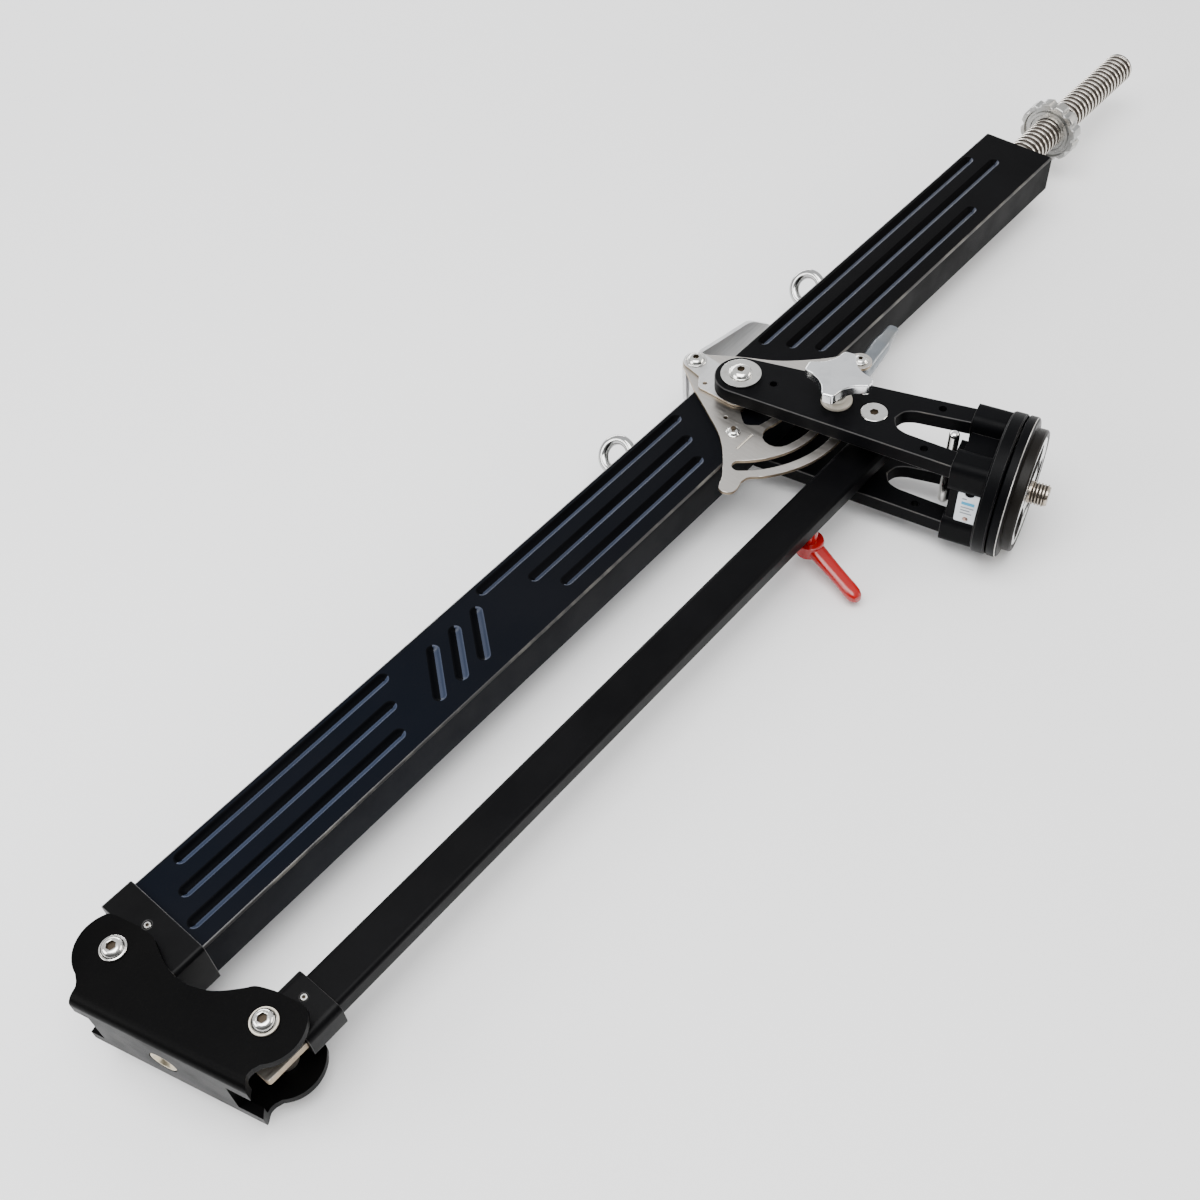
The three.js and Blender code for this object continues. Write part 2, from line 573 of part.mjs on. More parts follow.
// ---------------------------------------------------------------- front bracket
function bracketOutline() {
  const { lobe, top, face } = bracket;
  const far = PIVOT_SPACING;
  const degrees = THREE.MathUtils.degToRad;
  const scoop = [[4.5, top], [14.6, 14.2], [28.7, 5.1], [far / 2, 0]];
  const flip = (points) => points.map(([x, y]) => [far - x, y]).reverse();
  const shape = new THREE.Shape();
  shape.moveTo(bracketFoot.left, face);
  shape.splineThru(vectors([[-4.8, -26], [-6.4, -22.6], [-9.8, -19.2]]));
  shape.absarc(0, 0, lobe, degrees(243), degrees(146), true);
  shape.quadraticCurveTo(-16, top, -11, top);
  shape.lineTo(...scoop[0]);
  shape.splineThru(vectors([...scoop.slice(1), ...flip(scoop).slice(1)]));
  shape.lineTo(far + 11, top);
  shape.quadraticCurveTo(far + 16, top, far + lobe * Math.cos(degrees(34)), lobe * Math.sin(degrees(34)));
  shape.absarc(far, 0, lobe, degrees(34), degrees(-61), true);
  shape.splineThru(vectors([[102.8, -22.4], [102, -26], [103.6, -30], [bracketFoot.right, face]]));
  return shape;
}

function frontBracket() {
  const { face, web: thickness, ear, halfHeight, bend } = bracket;
  const far = PIVOT_SPACING;
  const blank = slab(bracketOutline(), -halfHeight, halfHeight, FINE);
  const outer = bar(roundedRect(face, -halfHeight, 60, halfHeight, bend), -40, far + 40, 3);
  const innerHalf = halfHeight - ear;
  const inner = bar(roundedRect(face + thickness, -innerHalf, 70, innerHalf, 2), -45, far + 45, 2);
  const screwHole = rodAlong("z", pivotScrew.shaft + GAP, -30, 30);
  const insertHole = rodAlong("y", insert.radius + GAP, face - 1, face + thickness + 1, 32);
  const notches = [
    [bracketFoot.left - 10, bracketFoot.leftNotch],
    [bracketFoot.rightNotch, bracketFoot.right + 10],
  ].map(([from, to]) => {
    const size = [to - from, thickness + 2, 2 * bracketFoot.notchHalf];
    return box(...size, [(from + to) / 2, face + thickness / 2, 0]);
  });
  return cut(
    blank.intersect(outer),
    inner,
    screwHole,
    screwHole.translate(far, 0, 0),
    insertHole.translate(far / 2, 0, 0),
    ...notches,
  );
}

function threadedInsert() {
  const { face, web: thickness } = bracket;
  const seat = face + thickness + GAP;
  const body = turned([
    [0, face + 0.1], [insert.radius, face + 0.1], [insert.radius, seat],
    [insert.flange, seat], [insert.flange, seat + insert.flangeDepth], [0, seat + insert.flangeDepth],
  ], "y", 24);
  return cut(body, rodAlong("y", insert.hole, face - 1, seat + insert.flangeDepth + 1, 20))
    .translate(PIVOT_SPACING / 2, 0, 0);
}

function hexagon(radius) {
  const corners = [0, 1, 2, 3, 4, 5].map((i) => (i * Math.PI) / 3);
  return new THREE.Shape(vectors(corners.map((a) => [radius * Math.cos(a), radius * Math.sin(a)])));
}

// A flanged button-head screw through one ear, reaching the tongue's middle.
function earScrew(side, { head, flange, dome }) {
  const { shaft } = pivotScrew;
  const seat = bracket.halfHeight + GAP;
  const top = flange + 3;
  const body = turned([
    [0, -seat], [shaft, -seat], [shaft, 0], [head, 0], [head, flange],
    [dome, flange + 1], [dome - 1.8, top], [0, top],
  ], "z", 20);
  const tongueMiddle = (tongue.bottom + tongue.top) / 2;
  const length = seat - side * tongueMiddle - 0.2;
  const trimmed = cut(body, box(30, 30, 60, [0, 0, -length - 30]));
  const screw = cut(trimmed, slab(hexagon(2.9), top - 2.4, top + 1));
  return (side > 0 ? screw : screw.rotate([180, 0, 0])).translate(0, 0, side * seat);
}

function addFrontBracket() {
  add(bracketFrame, "front_bracket", frontBracket(), materials.blackSteel);
  add(bracketFrame, "camera_thread_insert", threadedInsert(), materials.brass);
  const innerFace = bracket.halfHeight - bracket.ear - GAP;
  const pivots = {
    front_pivot: { x: 0, head: pivotScrew, spacer: 9 },
    front_lower_pivot: { x: PIVOT_SPACING, head: washedScrew, spacer: 7.5 },
  };
  for (const [pivotName, { x, head, spacer }] of Object.entries(pivots)) {
    for (const [name, side] of Object.entries(SIDES)) {
      const screw = earScrew(side, head).translate(x, 0, 0);
      add(bracketFrame, `${pivotName}_screw_${name}`, screw, materials.polished);
    }
    const below = sleeveAlong("z", spacer, 4.3, -innerFace, tongue.bottom - GAP, 18);
    const above = sleeveAlong("z", spacer, 4.3, tongue.top + GAP, innerFace, 18);
    add(bracketFrame, `${pivotName}_spacer_lower`, below.translate(x, 0, 0), materials.stainless);
    add(bracketFrame, `${pivotName}_spacer_upper`, above.translate(x, 0, 0), materials.stainless);
  }
}

// ---------------------------------------------------------------- yoke
const armHalfWidth = (s) => yoke.nose + yoke.flare * s;

function yokeArm(side) {
  const { end, nose } = yoke;
  const outline = new THREE.Shape();
  outline.absarc(0, 0, nose, Math.PI / 2, 1.5 * Math.PI);
  outline.lineTo(end, -armHalfWidth(end));
  outline.lineTo(end, -yokeWindow.endHalf);
  outline.lineTo(yokeWindow.neck, -yokeWindow.neckHalf);
  outline.quadraticCurveTo(yokeWindow.apex - 1, -yokeWindow.neckHalf, yokeWindow.apex, 0);
  outline.quadraticCurveTo(yokeWindow.apex - 1, yokeWindow.neckHalf, yokeWindow.neck, yokeWindow.neckHalf);
  outline.lineTo(end, yokeWindow.endHalf);
  outline.lineTo(end, armHalfWidth(end));
  outline.holes.push(circle(0, 0, 6.4), circle(23.7, 0, 2.7), circle(135, 20, 2.7), circle(135, -20, 2.7));
  outline.holes.push(circle(PIVOT_SPACING, 0, 5.4));
  if (side > 0) outline.holes.push(circle(knob.s, 0, knob.stud + GAP));
  const arm = slab(outline, side * yoke.inner, side * yoke.outer);
  const seat = rodAlong("z", 9.4, side * (yoke.outer - 2.6), side * (yoke.outer + 2), 28);
  return cut(arm, seat.translate(PIVOT_SPACING, 0, 0));
}

function yokeBase() {
  const { lugInner, lugOuter, lugTop, blockHalf, valley, disc } = base;
  const start = yoke.end + GAP;
  const lugs = [];
  for (const across of [1, -1]) {
    for (const up of [1, -1]) {
      const y = [across * lugInner, across * lugOuter].sort((a, b) => a - b);
      const z = [up * 13.8, up * lugTop].sort((a, b) => a - b);
      lugs.push(bar(roundedRect(y[0], z[0], y[1], z[1], 6), start, disc + 1, 4));
    }
  }
  const block = bar(roundedRect(-blockHalf, -valley, blockHalf, valley, 3), start + 1.5, disc + 1, 3);
  const seatSize = [start + 5 - seatBlock.start, 2 * seatBlock.halfWidth, 2 * seatBlock.halfHeight];
  const pinSeat = box(...seatSize, [(seatBlock.start + start + 5) / 2, 0, 0]);
  const plateDisc = turned([
    [0, disc], [pan.discRadius - 1, disc], [pan.discRadius, disc + 1],
    [pan.discRadius, pan.discEnd], [0, pan.discEnd],
  ], "x", 40);
  const bearingBore = rodAlong("x", pan.bore, pan.boreStart, pan.discEnd + 1, 24);
  return cut(join(plateDisc, block, pinSeat, ...lugs), bearingBore);
}

function mainPivotBolt() {
  const head = yoke.outer + 2.2;
  return turned([
    [0, -head - 3.2], [8.6, -head - 3.2], [8.6, -head], [6, -head],
    [6, head], [8.2, head], [8.2, head + 2], [6.4, head + 3.4], [0, head + 3.4],
  ], "z", 24);
}

function flushScrew(side) {
  const top = yoke.outer + 0.1;
  const head = rodAlong("z", 9, side * (top - 2.3), side * top, 28);
  const shank = rodAlong("z", 2.6, side * 24, side * (top - 1), 16);
  return join(head, shank).translate(PIVOT_SPACING, 0, 0);
}

function rearPivotShaft() {
  const half = yoke.outer - 2.9;
  const socket = (side) => rodAlong("z", 2.9, side * 23.5, side * (half + 1), 16);
  return cut(rodAlong("z", 5, -half, half), socket(1), socket(-1)).translate(PIVOT_SPACING, 0, 0);
}

function labelPlate() {
  const y = -base.blockHalf - GAP - label.thickness / 2;
  const centre = label.start + label.length / 2;
  const sheet = box(label.length, label.thickness, 2 * label.halfHeight, [centre, y, 0]);
  const hole = rodAlong("y", 1.7, y - 1, y + 1, 12).translate(centre, 0, label.rivet);
  return cut(sheet, hole);
}

function labelRivet() {
  const face = -base.blockHalf - GAP;
  const centre = label.start + label.length / 2;
  const head = rodAlong("y", 1.5, face - label.thickness - 1, face, 12);
  return head.translate(centre, 0, label.rivet);
}

function addYoke() {
  for (const [name, side] of Object.entries(SIDES)) {
    add(yokeFrame, `yoke_arm_${name}`, yokeArm(side), materials.powderCoat);
    const washer = sleeveAlong("z", 14, 6.4, side * (yoke.outer + GAP), side * (yoke.outer + 1.9), 24);
    add(yokeFrame, `main_pivot_washer_${name}`, washer, materials.stainless);
    add(yokeFrame, `lower_pivot_screw_${name}`, flushScrew(side), materials.polished);
  }
  const spacer = sleeveAlong("z", 12, 6.4, link.top + GAP - YOKE_RISE, yoke.inner - GAP, 24);
  add(yokeFrame, "main_pivot_spacer", spacer, materials.blackSteel);
  add(yokeFrame, "main_pivot_bolt", mainPivotBolt(), materials.polished);
  add(yokeFrame, "lower_pivot_shaft", rearPivotShaft(), materials.stainless);
  add(yokeFrame, "yoke_base", yokeBase(), materials.powderCoat);
  add(yokeFrame, "label_plate", labelPlate(), materials.label);
  add(yokeFrame, "label_rivet", labelRivet(), materials.polished);
  const { radius, bottom, top, s } = clampScrew;
  const screw = rodAlong("z", radius, bottom, top, 20).translate(s, 0, 0);
  add(yokeFrame, "yoke_clamp_screw", screw, materials.polished);
  add(yokeFrame, "pan_bearing", sleeveAlong("x", 16, 9.3, 176, 188.2), materials.stainless);
}

// ---------------------------------------------------------------- star knob on the yoke
function starKnob() {
  const outline = new THREE.Shape();
  const { tip, tipHalf, waist } = knob;
  for (let i = 0; i < 4; i += 1) {
    const turn = (i * Math.PI) / 2;
    const at = (x, y) => [x * Math.cos(turn) - y * Math.sin(turn), x * Math.sin(turn) + y * Math.cos(turn)];
    if (i === 0) outline.moveTo(...at(tip, -tipHalf));
    else outline.quadraticCurveTo(...at(waist, -waist), ...at(tip, -tipHalf));
    outline.lineTo(...at(tip, tipHalf));
  }
  outline.quadraticCurveTo(waist, -waist, tip, -tipHalf);
  const star = slab(outline, knob.bottom, knob.top, 5);
  const stem = rodAlong("z", knob.stem, yoke.outer + 2.9, knob.bottom + 1);
  const bore = rodAlong("z", knob.stud + GAP, 0, knob.bottom + 5, 20);
  return cut(join(star, stem), bore).translate(knob.s, 0, 0);
}

function addStarKnob() {
  add(yokeFrame, "star_knob", starKnob(), materials.polished);
  const clampStud = rodAlong("z", knob.stud, slotNut.bottom + 1, knob.bottom + 4, 20).translate(knob.s, 0, 0);
  add(yokeFrame, "star_knob_stud", clampStud, materials.stainless);
  const washer = sleeveAlong("z", 10.5, knob.stud + GAP, yoke.outer + GAP, yoke.outer + 2.6, 20);
  add(yokeFrame, "star_knob_washer", washer.translate(knob.s, 0, 0), materials.polished);
  const { radius, bottom, top } = slotNut;
  const nutBody = sleeveAlong("z", radius, knob.stud + GAP, bottom, top, 16);
  add(yokeFrame, "slot_nut", nutBody.translate(knob.s, 0, 0), materials.stainless);
}

// ---------------------------------------------------------------- tripod adapter
function adapterRing() {
  const { start, shoulder, radius, step, nose, face } = adapter;
  const outer = turned([
    [0, start], [radius, start], [radius, shoulder], [step, shoulder + 1],
    [nose, shoulder + 1], [nose, face - 0.6], [nose - 0.6, face], [0, face],
  ], "x", 40);
  const axleBore = rodAlong("x", 20.3, start - 1, face + 1, 24);
  const plateBore = rodAlong("x", spokes.radius + GAP, spokes.start - GAP, face + 1, 32);
  return cut(outer, axleBore, plateBore);
}

function spokePlate() {
  const disc = rodAlong("x", spokes.radius, spokes.start, spokes.end, 32);
  const pockets = [];
  for (let i = 0; i < 3; i += 1) {
    const turn = (i * 2 * Math.PI) / 3;
    const large = slotShape(-9, 22.5, 9, 22.5, 18);
    const small = slotShape(-2.2, 17.5, 2.2, 17.5, 7);
    const start = spokes.end - spokes.pocketDepth;
    pockets.push(bar(large, start, spokes.end + 1, 3).rotate([THREE.MathUtils.radToDeg(turn), 0, 0]));
    pockets.push(bar(small, start, spokes.end + 1, 2).rotate([THREE.MathUtils.radToDeg(turn) + 60, 0, 0]));
  }
  return cut(disc, rodAlong("x", 5.3, spokes.start - 1, spokes.end + 1), ...pockets);
}

function panAxle() {
  const body = turned([
    [0, 165], [9, 165], [9, adapter.start + 0.5], [20, adapter.start + 0.5],
    [20, spokes.start - GAP], [0, spokes.start - GAP],
  ], "x", 24);
  return cut(body, rodAlong("x", 5.3, 192, spokes.start + 1));
}

function tripodStud() {
  return turned([
    [0, 192.5], [5, 192.5], [5, spokes.end + GAP], [stud.radius, spokes.end + GAP],
    [stud.radius, stud.end - 1], [stud.radius - 1, stud.end], [0, stud.end],
  ], "x", 28);
}

function addAdapter() {
  add(yokeFrame, "adapter_ring", adapterRing(), materials.powderCoat);
  add(yokeFrame, "spoke_plate", spokePlate(), materials.castAlloy);
  add(yokeFrame, "pan_axle", panAxle(), materials.stainless);
  const hexNut = cut(rodAlong("x", 14, 167, 175.5, 6), rodAlong("x", 9.3, 166, 176, 24));
  add(yokeFrame, "pan_axle_nut", hexNut, materials.stainless);
  add(yokeFrame, "tripod_stud", tripodStud(), materials.stainless);
}

addMainArm();
addHandNut();
addLowerArm();
addLevers();
addFrontBracket();
addYoke();
addStarKnob();
addAdapter();

export default part;
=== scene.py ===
"""A compact parallelogram camera jib lying on a pale studio floor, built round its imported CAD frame."""
import json
import math

import bmesh
import bpy
from mathutils import Matrix, Vector


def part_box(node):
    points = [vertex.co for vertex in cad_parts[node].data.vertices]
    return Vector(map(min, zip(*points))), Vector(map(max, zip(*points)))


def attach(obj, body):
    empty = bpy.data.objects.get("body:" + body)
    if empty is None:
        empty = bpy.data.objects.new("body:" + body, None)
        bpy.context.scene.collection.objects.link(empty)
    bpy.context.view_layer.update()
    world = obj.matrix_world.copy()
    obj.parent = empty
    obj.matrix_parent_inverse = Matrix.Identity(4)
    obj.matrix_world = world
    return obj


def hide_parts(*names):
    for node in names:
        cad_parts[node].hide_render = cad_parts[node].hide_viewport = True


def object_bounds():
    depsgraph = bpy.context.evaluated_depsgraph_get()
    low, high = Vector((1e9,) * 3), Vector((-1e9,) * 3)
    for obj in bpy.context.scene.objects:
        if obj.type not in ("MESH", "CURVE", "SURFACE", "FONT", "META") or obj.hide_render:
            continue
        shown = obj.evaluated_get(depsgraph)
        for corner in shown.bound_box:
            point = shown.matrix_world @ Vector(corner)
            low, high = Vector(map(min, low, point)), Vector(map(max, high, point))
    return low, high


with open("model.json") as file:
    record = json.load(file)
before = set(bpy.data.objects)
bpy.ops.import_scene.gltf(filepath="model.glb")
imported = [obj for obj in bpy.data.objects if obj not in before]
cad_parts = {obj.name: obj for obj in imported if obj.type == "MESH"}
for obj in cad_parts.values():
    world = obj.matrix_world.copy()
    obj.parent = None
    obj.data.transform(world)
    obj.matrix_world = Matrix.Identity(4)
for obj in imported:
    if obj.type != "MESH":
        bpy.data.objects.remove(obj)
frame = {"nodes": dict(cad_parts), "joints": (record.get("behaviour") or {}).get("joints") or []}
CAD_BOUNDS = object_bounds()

# ------------------------------------------------------------------ places taken from the frame
JOINTS = {joint["name"]: joint for joint in frame["joints"]}
MM = 0.001


def joint_place(name):
    return Vector(JOINTS[name]["pos_m"])


PAN_AXIS = Vector(JOINTS["pan"]["axis"])
YOKE_ANGLE = math.atan2(PAN_AXIS.y, PAN_AXIS.x)
TILT = joint_place("tilt")
SCALE = Matrix.Scale(MM, 4)
ARM = Matrix.Translation(TILT) @ SCALE  # millimetres from the tilt pivot, X along the main arm
PAN = joint_place("pan")
YOKE_CENTRE = Matrix.Translation((TILT.x, TILT.y, PAN.z))
YOKE = YOKE_CENTRE @ Matrix.Rotation(YOKE_ANGLE, 4, "Z") @ SCALE
FRONT = joint_place("bracket_level")
BRACKET = Matrix.Translation(FRONT) @ Matrix.Rotation(YOKE_ANGLE, 4, "Z") @ SCALE
ARM_LENGTH = (TILT.x - FRONT.x) / MM
YOKE_RISE = (PAN.z - TILT.z) / MM  # the pan axis is above the arms' middle plane
LOWER = (joint_place("lower_arm_swing") - TILT) / MM
SPACING = LOWER.length
FRONT_LOWER = LOWER - Vector((ARM_LENGTH, 0, 0))
LEVER = (joint_place("zinc_lever_swing") - TILT) / MM
RED = (joint_place("red_lever_swing") - TILT) / MM
DRAWN_IN = {  # the frame that each body's pieces are drawn in
    "main_arm": ARM, "hand_nut": ARM, "lower_arm": ARM, "zinc_lever": ARM, "red_lever": ARM,
    "front_bracket": BRACKET, "yoke": YOKE, "star_knob": YOKE, "adapter": YOKE,
}
KNOB_S = ((joint_place("knob_turn") - TILT).dot(PAN_AXIS)) / MM


def node_span(node, axis):
    """Lowest and highest millimetre of a CAD node along one arm axis."""
    low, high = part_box(node)
    return (low[axis] - TILT[axis]) / MM, (high[axis] - TILT[axis]) / MM


TUBE_FRONT, TUBE_REAR = node_span("main_tube", 0)
ROD_END = node_span("counterweight_rod", 0)[1]
NUT_FRONT, NUT_REAR = node_span("hand_nut", 0)

# ------------------------------------------------------------------ node-based materials
REFLECTION_START, REFLECTION_FULL = 0.02, -0.4  # where the painted bluish reflection on the coat begins and is full, metres along X


class Look:
    """A principled material with small helpers for procedural detail in object space."""

    def __init__(self, name, color, rough, metal=0.0, **fixed):
        self.material = bpy.data.materials.new(name)
        self.material.use_nodes = True
        self.tree = self.material.node_tree
        self.shader = self.tree.nodes["Principled BSDF"]
        self.place = self.node("TexCoord").outputs["Object"]
        self.color = self.node("RGB").outputs[0]
        self.color.default_value = (*color, 1)
        self.rough = self.node("Value").outputs[0]
        self.rough.default_value = rough
        self.normal = None
        self.feed(self.shader, Metallic=metal, **fixed)

    def feed(self, node, **inputs):
        """Sets a node's inputs, each to a value or to another node's output."""
        for name, value in inputs.items():
            socket = node.inputs[name.replace("_", " ")]
            if isinstance(value, bpy.types.NodeSocket):
                self.tree.links.new(value, socket)
            else:
                socket.default_value = value
        return node

    def node(self, kind, **inputs):
        return self.feed(self.tree.nodes.new("ShaderNode" + kind), **inputs)

    def noise(self, scale, detail=4.0, stretch=None, roughness=0.55):
        place = self.place
        if stretch:
            place = self.node("Mapping", Vector=place, Scale=stretch).outputs["Vector"]
        made = self.node("TexNoise", Vector=place, Scale=scale, Detail=detail, Roughness=roughness)
        return made.outputs["Fac"]

    def ramp(self, source, low, high, start=0.0, end=1.0):
        made = self.node("MapRange", Value=source, From_Min=low, From_Max=high, To_Min=start, To_Max=end)
        return made.outputs["Result"]

    def axis(self, letter):
        """One coordinate of the point being shaded, in metres."""
        return self.node("SeparateXYZ", Vector=self.place).outputs[letter]

    def mix(self, kind, mask, first, second):
        """Blends from first to second where mask is 1."""
        made = self.tree.nodes.new("ShaderNodeMix")
        made.data_type = kind
        return self.feed(made, Factor=mask, A=first, B=second).outputs["Result"]

    def tint(self, mask, color):
        self.color = self.mix("RGBA", mask, self.color, (*color, 1))

    def rough_mix(self, mask, rough):
        self.rough = self.mix("FLOAT", mask, self.rough, rough)

    def cloud(self, color, scale, detail, low, high, amount):
        """Another colour in soft noise patches."""
        self.tint(self.ramp(self.noise(scale, detail), low, high, 0, amount), color)

    def uneven(self, rough, scale, detail, low, high):
        """Another roughness in soft noise patches."""
        self.rough_mix(self.ramp(self.noise(scale, detail), low, high), rough)

    def bump(self, height, depth):
        made = self.node("Bump", Strength=1.0, Distance=depth, Height=height)
        if self.normal:
            self.feed(made, Normal=self.normal)
        self.normal = made.outputs["Normal"]

    def done(self):
        self.feed(self.shader, Base_Color=self.color, Roughness=self.rough)
        if self.normal:
            self.feed(self.shader, Normal=self.normal)
        return self.material


def darker(color, share):
    return tuple(share * c for c in color)


def powder_coat(name, color, rough=0.42, haze=(0.005, 0.005, 0.006), front=None, gloss=0.035):
    """Fine-grained satin black coat with faint clouding and dust, and a painted bluish reflection towards
    the front.
    """
    look = Look(name, color, rough, 0.0, Specular_IOR_Level=gloss)
    if front:
        # the front colour, blended in along X, is a painted bluish reflection
        look.tint(look.ramp(look.axis("X"), REFLECTION_START, REFLECTION_FULL, 0, 0.8), front)
    look.cloud(haze, 9, 3, 0.45, 0.75, 0.35)
    look.cloud(haze, 900, 2, 0.62, 0.74, 0.4)
    look.uneven(rough + 0.12, 30, 4, 0.4, 0.7)
    look.bump(look.noise(1400, 2), 0.00005)
    return look.done()


def worn_highlit_edge(name, color, bright, rough=0.38, amount=0.5):
    """The coat on an edge: lighter than the faces as a painted highlight, and rubbed thin in patches."""
    look = Look(name, color, rough, 0.0, Specular_IOR_Level=0.5)
    patches = look.ramp(look.noise(60, 6), 0.62 - amount * 0.3, 0.72 - amount * 0.1)
    look.tint(patches, bright)
    look.rough_mix(patches, 0.3)
    look.bump(look.noise(1400, 2), 0.00005)
    return look.done()


def brushed(name, color, rough=0.3, stretch=(20, 600, 600), stain=(0.28, 0.24, 0.19)):
    """Rolled stainless sheet: fine streaks one way, light stains and scratches."""
    look = Look(name, color, rough, 1.0)
    streaks = look.noise(1, 5, stretch)
    look.tint(look.ramp(streaks, 0.35, 0.75, 0, 0.35), darker(color, 0.62))
    look.cloud(stain, 38, 5, 0.52, 0.8, 0.45)
    look.rough_mix(look.ramp(streaks, 0.3, 0.7), rough + 0.16)
    look.bump(streaks, 0.00004)
    scratches = look.ramp(look.noise(1, 2, (900, 60, 60)), 0.68, 0.72)
    look.bump(scratches, -0.00004)
    return look.done()


def bright_metal(name, color, rough=0.14, stain=(0.3, 0.27, 0.22)):
    """Turned or polished metal with faint marks from handling."""
    look = Look(name, color, rough, 1.0)
    look.cloud(stain, 120, 5, 0.5, 0.85, 0.4)
    look.uneven(rough + 0.12, 90, 4, 0.45, 0.75)
    look.bump(look.noise(300, 2), 0.00001)
    return look.done()


def cast_alloy(name, color, rough=0.36):
    """Die-cast metal: soft mottling and a slight orange-peel skin."""
    look = Look(name, color, rough, 0.9)
    look.cloud(darker(color, 0.55), 70, 5, 0.45, 0.75, 0.5)
    look.cloud((0.5, 0.45, 0.36), 25, 3, 0.55, 0.8, 0.35)
    look.uneven(rough + 0.15, 150, 4, 0.4, 0.7)
    look.bump(look.noise(420, 4), 0.0001)
    return look.done()


def gloss_red():
    look = Look("gloss_red", (0.34, 0.002, 0.002), 0.2, 0.0, Coat_Weight=0.25, Coat_Roughness=0.08)
    look.cloud((0.28, 0.0, 0.0), 40, 4, 0.4, 0.8, 0.6)
    nick = look.ramp(look.noise(160, 3, roughness=0.7), 0.735, 0.75)
    look.tint(nick, (0.2, 0.19, 0.19))
    look.bump(look.noise(120, 3), 0.00012)
    return look.done()


def label_foil():
    """A silver foil with soft clouding."""
    look = Look("label_foil", (0.72, 0.75, 0.78), 0.28, 0.3)
    look.cloud((0.5, 0.56, 0.62), 55, 4, 0.45, 0.75, 0.4)
    look.bump(look.noise(300, 2), 0.00005)
    return look.done()


def plain(name, color, rough, metal=0.0):
    look = Look(name, color, rough, metal)
    look.cloud(darker(color, 0.6), 80, 4, 0.45, 0.8, 0.4)
    look.uneven(min(1.0, rough + 0.15), 200, 3, 0.4, 0.7)
    return look.done()


# Each front colour below is a painted bluish reflection towards the front.
COAT = powder_coat("tube_coat", (0.0015, 0.0015, 0.0018), front=(0.0022, 0.0035, 0.007))
# Edge colours below are lighter than their faces: partly wear, partly a painted highlight.
COAT_EDGE = worn_highlit_edge("tube_coat_edge", (0.016, 0.015, 0.015), (0.075, 0.07, 0.062), 0.3, 0.5)
# Groove colours: a painted shade darker than the coat, and a painted highlight for the lit wall.
GROOVE_SHADE = powder_coat(
    "groove_shade", (0.0008, 0.0008, 0.0009), 0.5, front=(0.001, 0.0013, 0.002), gloss=0.02)
GROOVE_LIT = powder_coat(
    "groove_lit", (0.024, 0.03, 0.048), 0.34, front=(0.022, 0.032, 0.06), gloss=0.3)
LOWER_COAT = powder_coat("lower_coat", (0.0014, 0.0014, 0.0017), 0.34, gloss=0.06)
SLEEVE = powder_coat("sleeve_coat", (0.0012, 0.0012, 0.0014), 0.3, (0.004, 0.004, 0.005), gloss=0.08)
SLEEVE_EDGE = worn_highlit_edge("sleeve_edge", (0.006, 0.006, 0.007), (0.03, 0.027, 0.024), amount=0.35)
BLACK = powder_coat("bracket_coat", (0.0012, 0.0012, 0.0013), 0.34, (0.005, 0.0045, 0.004))
BLACK_EDGE = worn_highlit_edge("bracket_edge", (0.007, 0.007, 0.0075), (0.32, 0.30, 0.27), amount=0.02)
YOKE_COAT = powder_coat("yoke_coat", (0.0015, 0.0016, 0.002), 0.4, gloss=0.05)
YOKE_EDGE = worn_highlit_edge("yoke_edge", (0.008, 0.0075, 0.0075), (0.04, 0.035, 0.028), amount=0.4)
WORN_HIGHLIT_METAL = worn_highlit_edge("worn_highlit_bevel", (0.05, 0.048, 0.045), (0.72, 0.7, 0.66), 0.3, 1.0)
SHEET = brushed("fulcrum_steel", (0.62, 0.59, 0.55), 0.27, (600, 25, 600))
SHEET_EDGE = brushed("cut_edge_steel", (0.40, 0.32, 0.23), 0.38, (200, 200, 30), (0.16, 0.12, 0.08))
WEB_STEEL = brushed("web_steel", (0.74, 0.74, 0.74), 0.36, (30, 500, 500), (0.4, 0.4, 0.42))
BAR_STEEL = brushed("bar_steel", (0.60, 0.56, 0.50), 0.32)
BOLT = bright_metal("polished_bolt", (0.78, 0.77, 0.74))
SOCKET = plain("socket_shadow", (0.05, 0.035, 0.02), 0.4, 0.5)
KNOB = bright_metal("polished_knob", (0.92, 0.93, 0.94), 0.15, (0.62, 0.64, 0.67))
WASHER = plain("cream_washer", (0.62, 0.57, 0.48), 0.4, 0.3)
EYE = bright_metal("polished_eye", (0.48, 0.48, 0.47), 0.12, (0.35, 0.34, 0.33))
ROD = bright_metal("rod_crest", (0.78, 0.73, 0.66), 0.22, (0.5, 0.44, 0.36))
# Thread roots: a dark painted shade in the grooves.
ROD_GROOVE_SHADE = plain("rod_groove_shade", (0.03, 0.022, 0.015), 0.5, 0.4)
COPPER = bright_metal("rivet_copper", (0.68, 0.45, 0.38), 0.35)
RING_COAT = powder_coat("ring_coat", (0.008, 0.007, 0.006), 0.36, (0.02, 0.017, 0.014), gloss=0.1)
STUD = bright_metal("stud_steel", (0.48, 0.42, 0.35), 0.26, (0.12, 0.10, 0.08))
ALLOY = cast_alloy("nut_alloy", (0.42, 0.42, 0.41), 0.26)
ZINC = cast_alloy("zinc_lever", (0.22, 0.24, 0.26), 0.3)
SPOKES = bright_metal("machined_face", (0.86, 0.86, 0.85), 0.22, (0.6, 0.58, 0.54))
DARK_HOLLOW = plain("dark_recess", (0.012, 0.009, 0.007), 0.5)
BRASS = bright_metal("insert_rim", (0.52, 0.45, 0.32), 0.3, (0.25, 0.2, 0.12))
RED_COAT = gloss_red()
LABEL = label_foil()
LABEL_GREY = plain("label_grey", (0.20, 0.22, 0.25), 0.4)
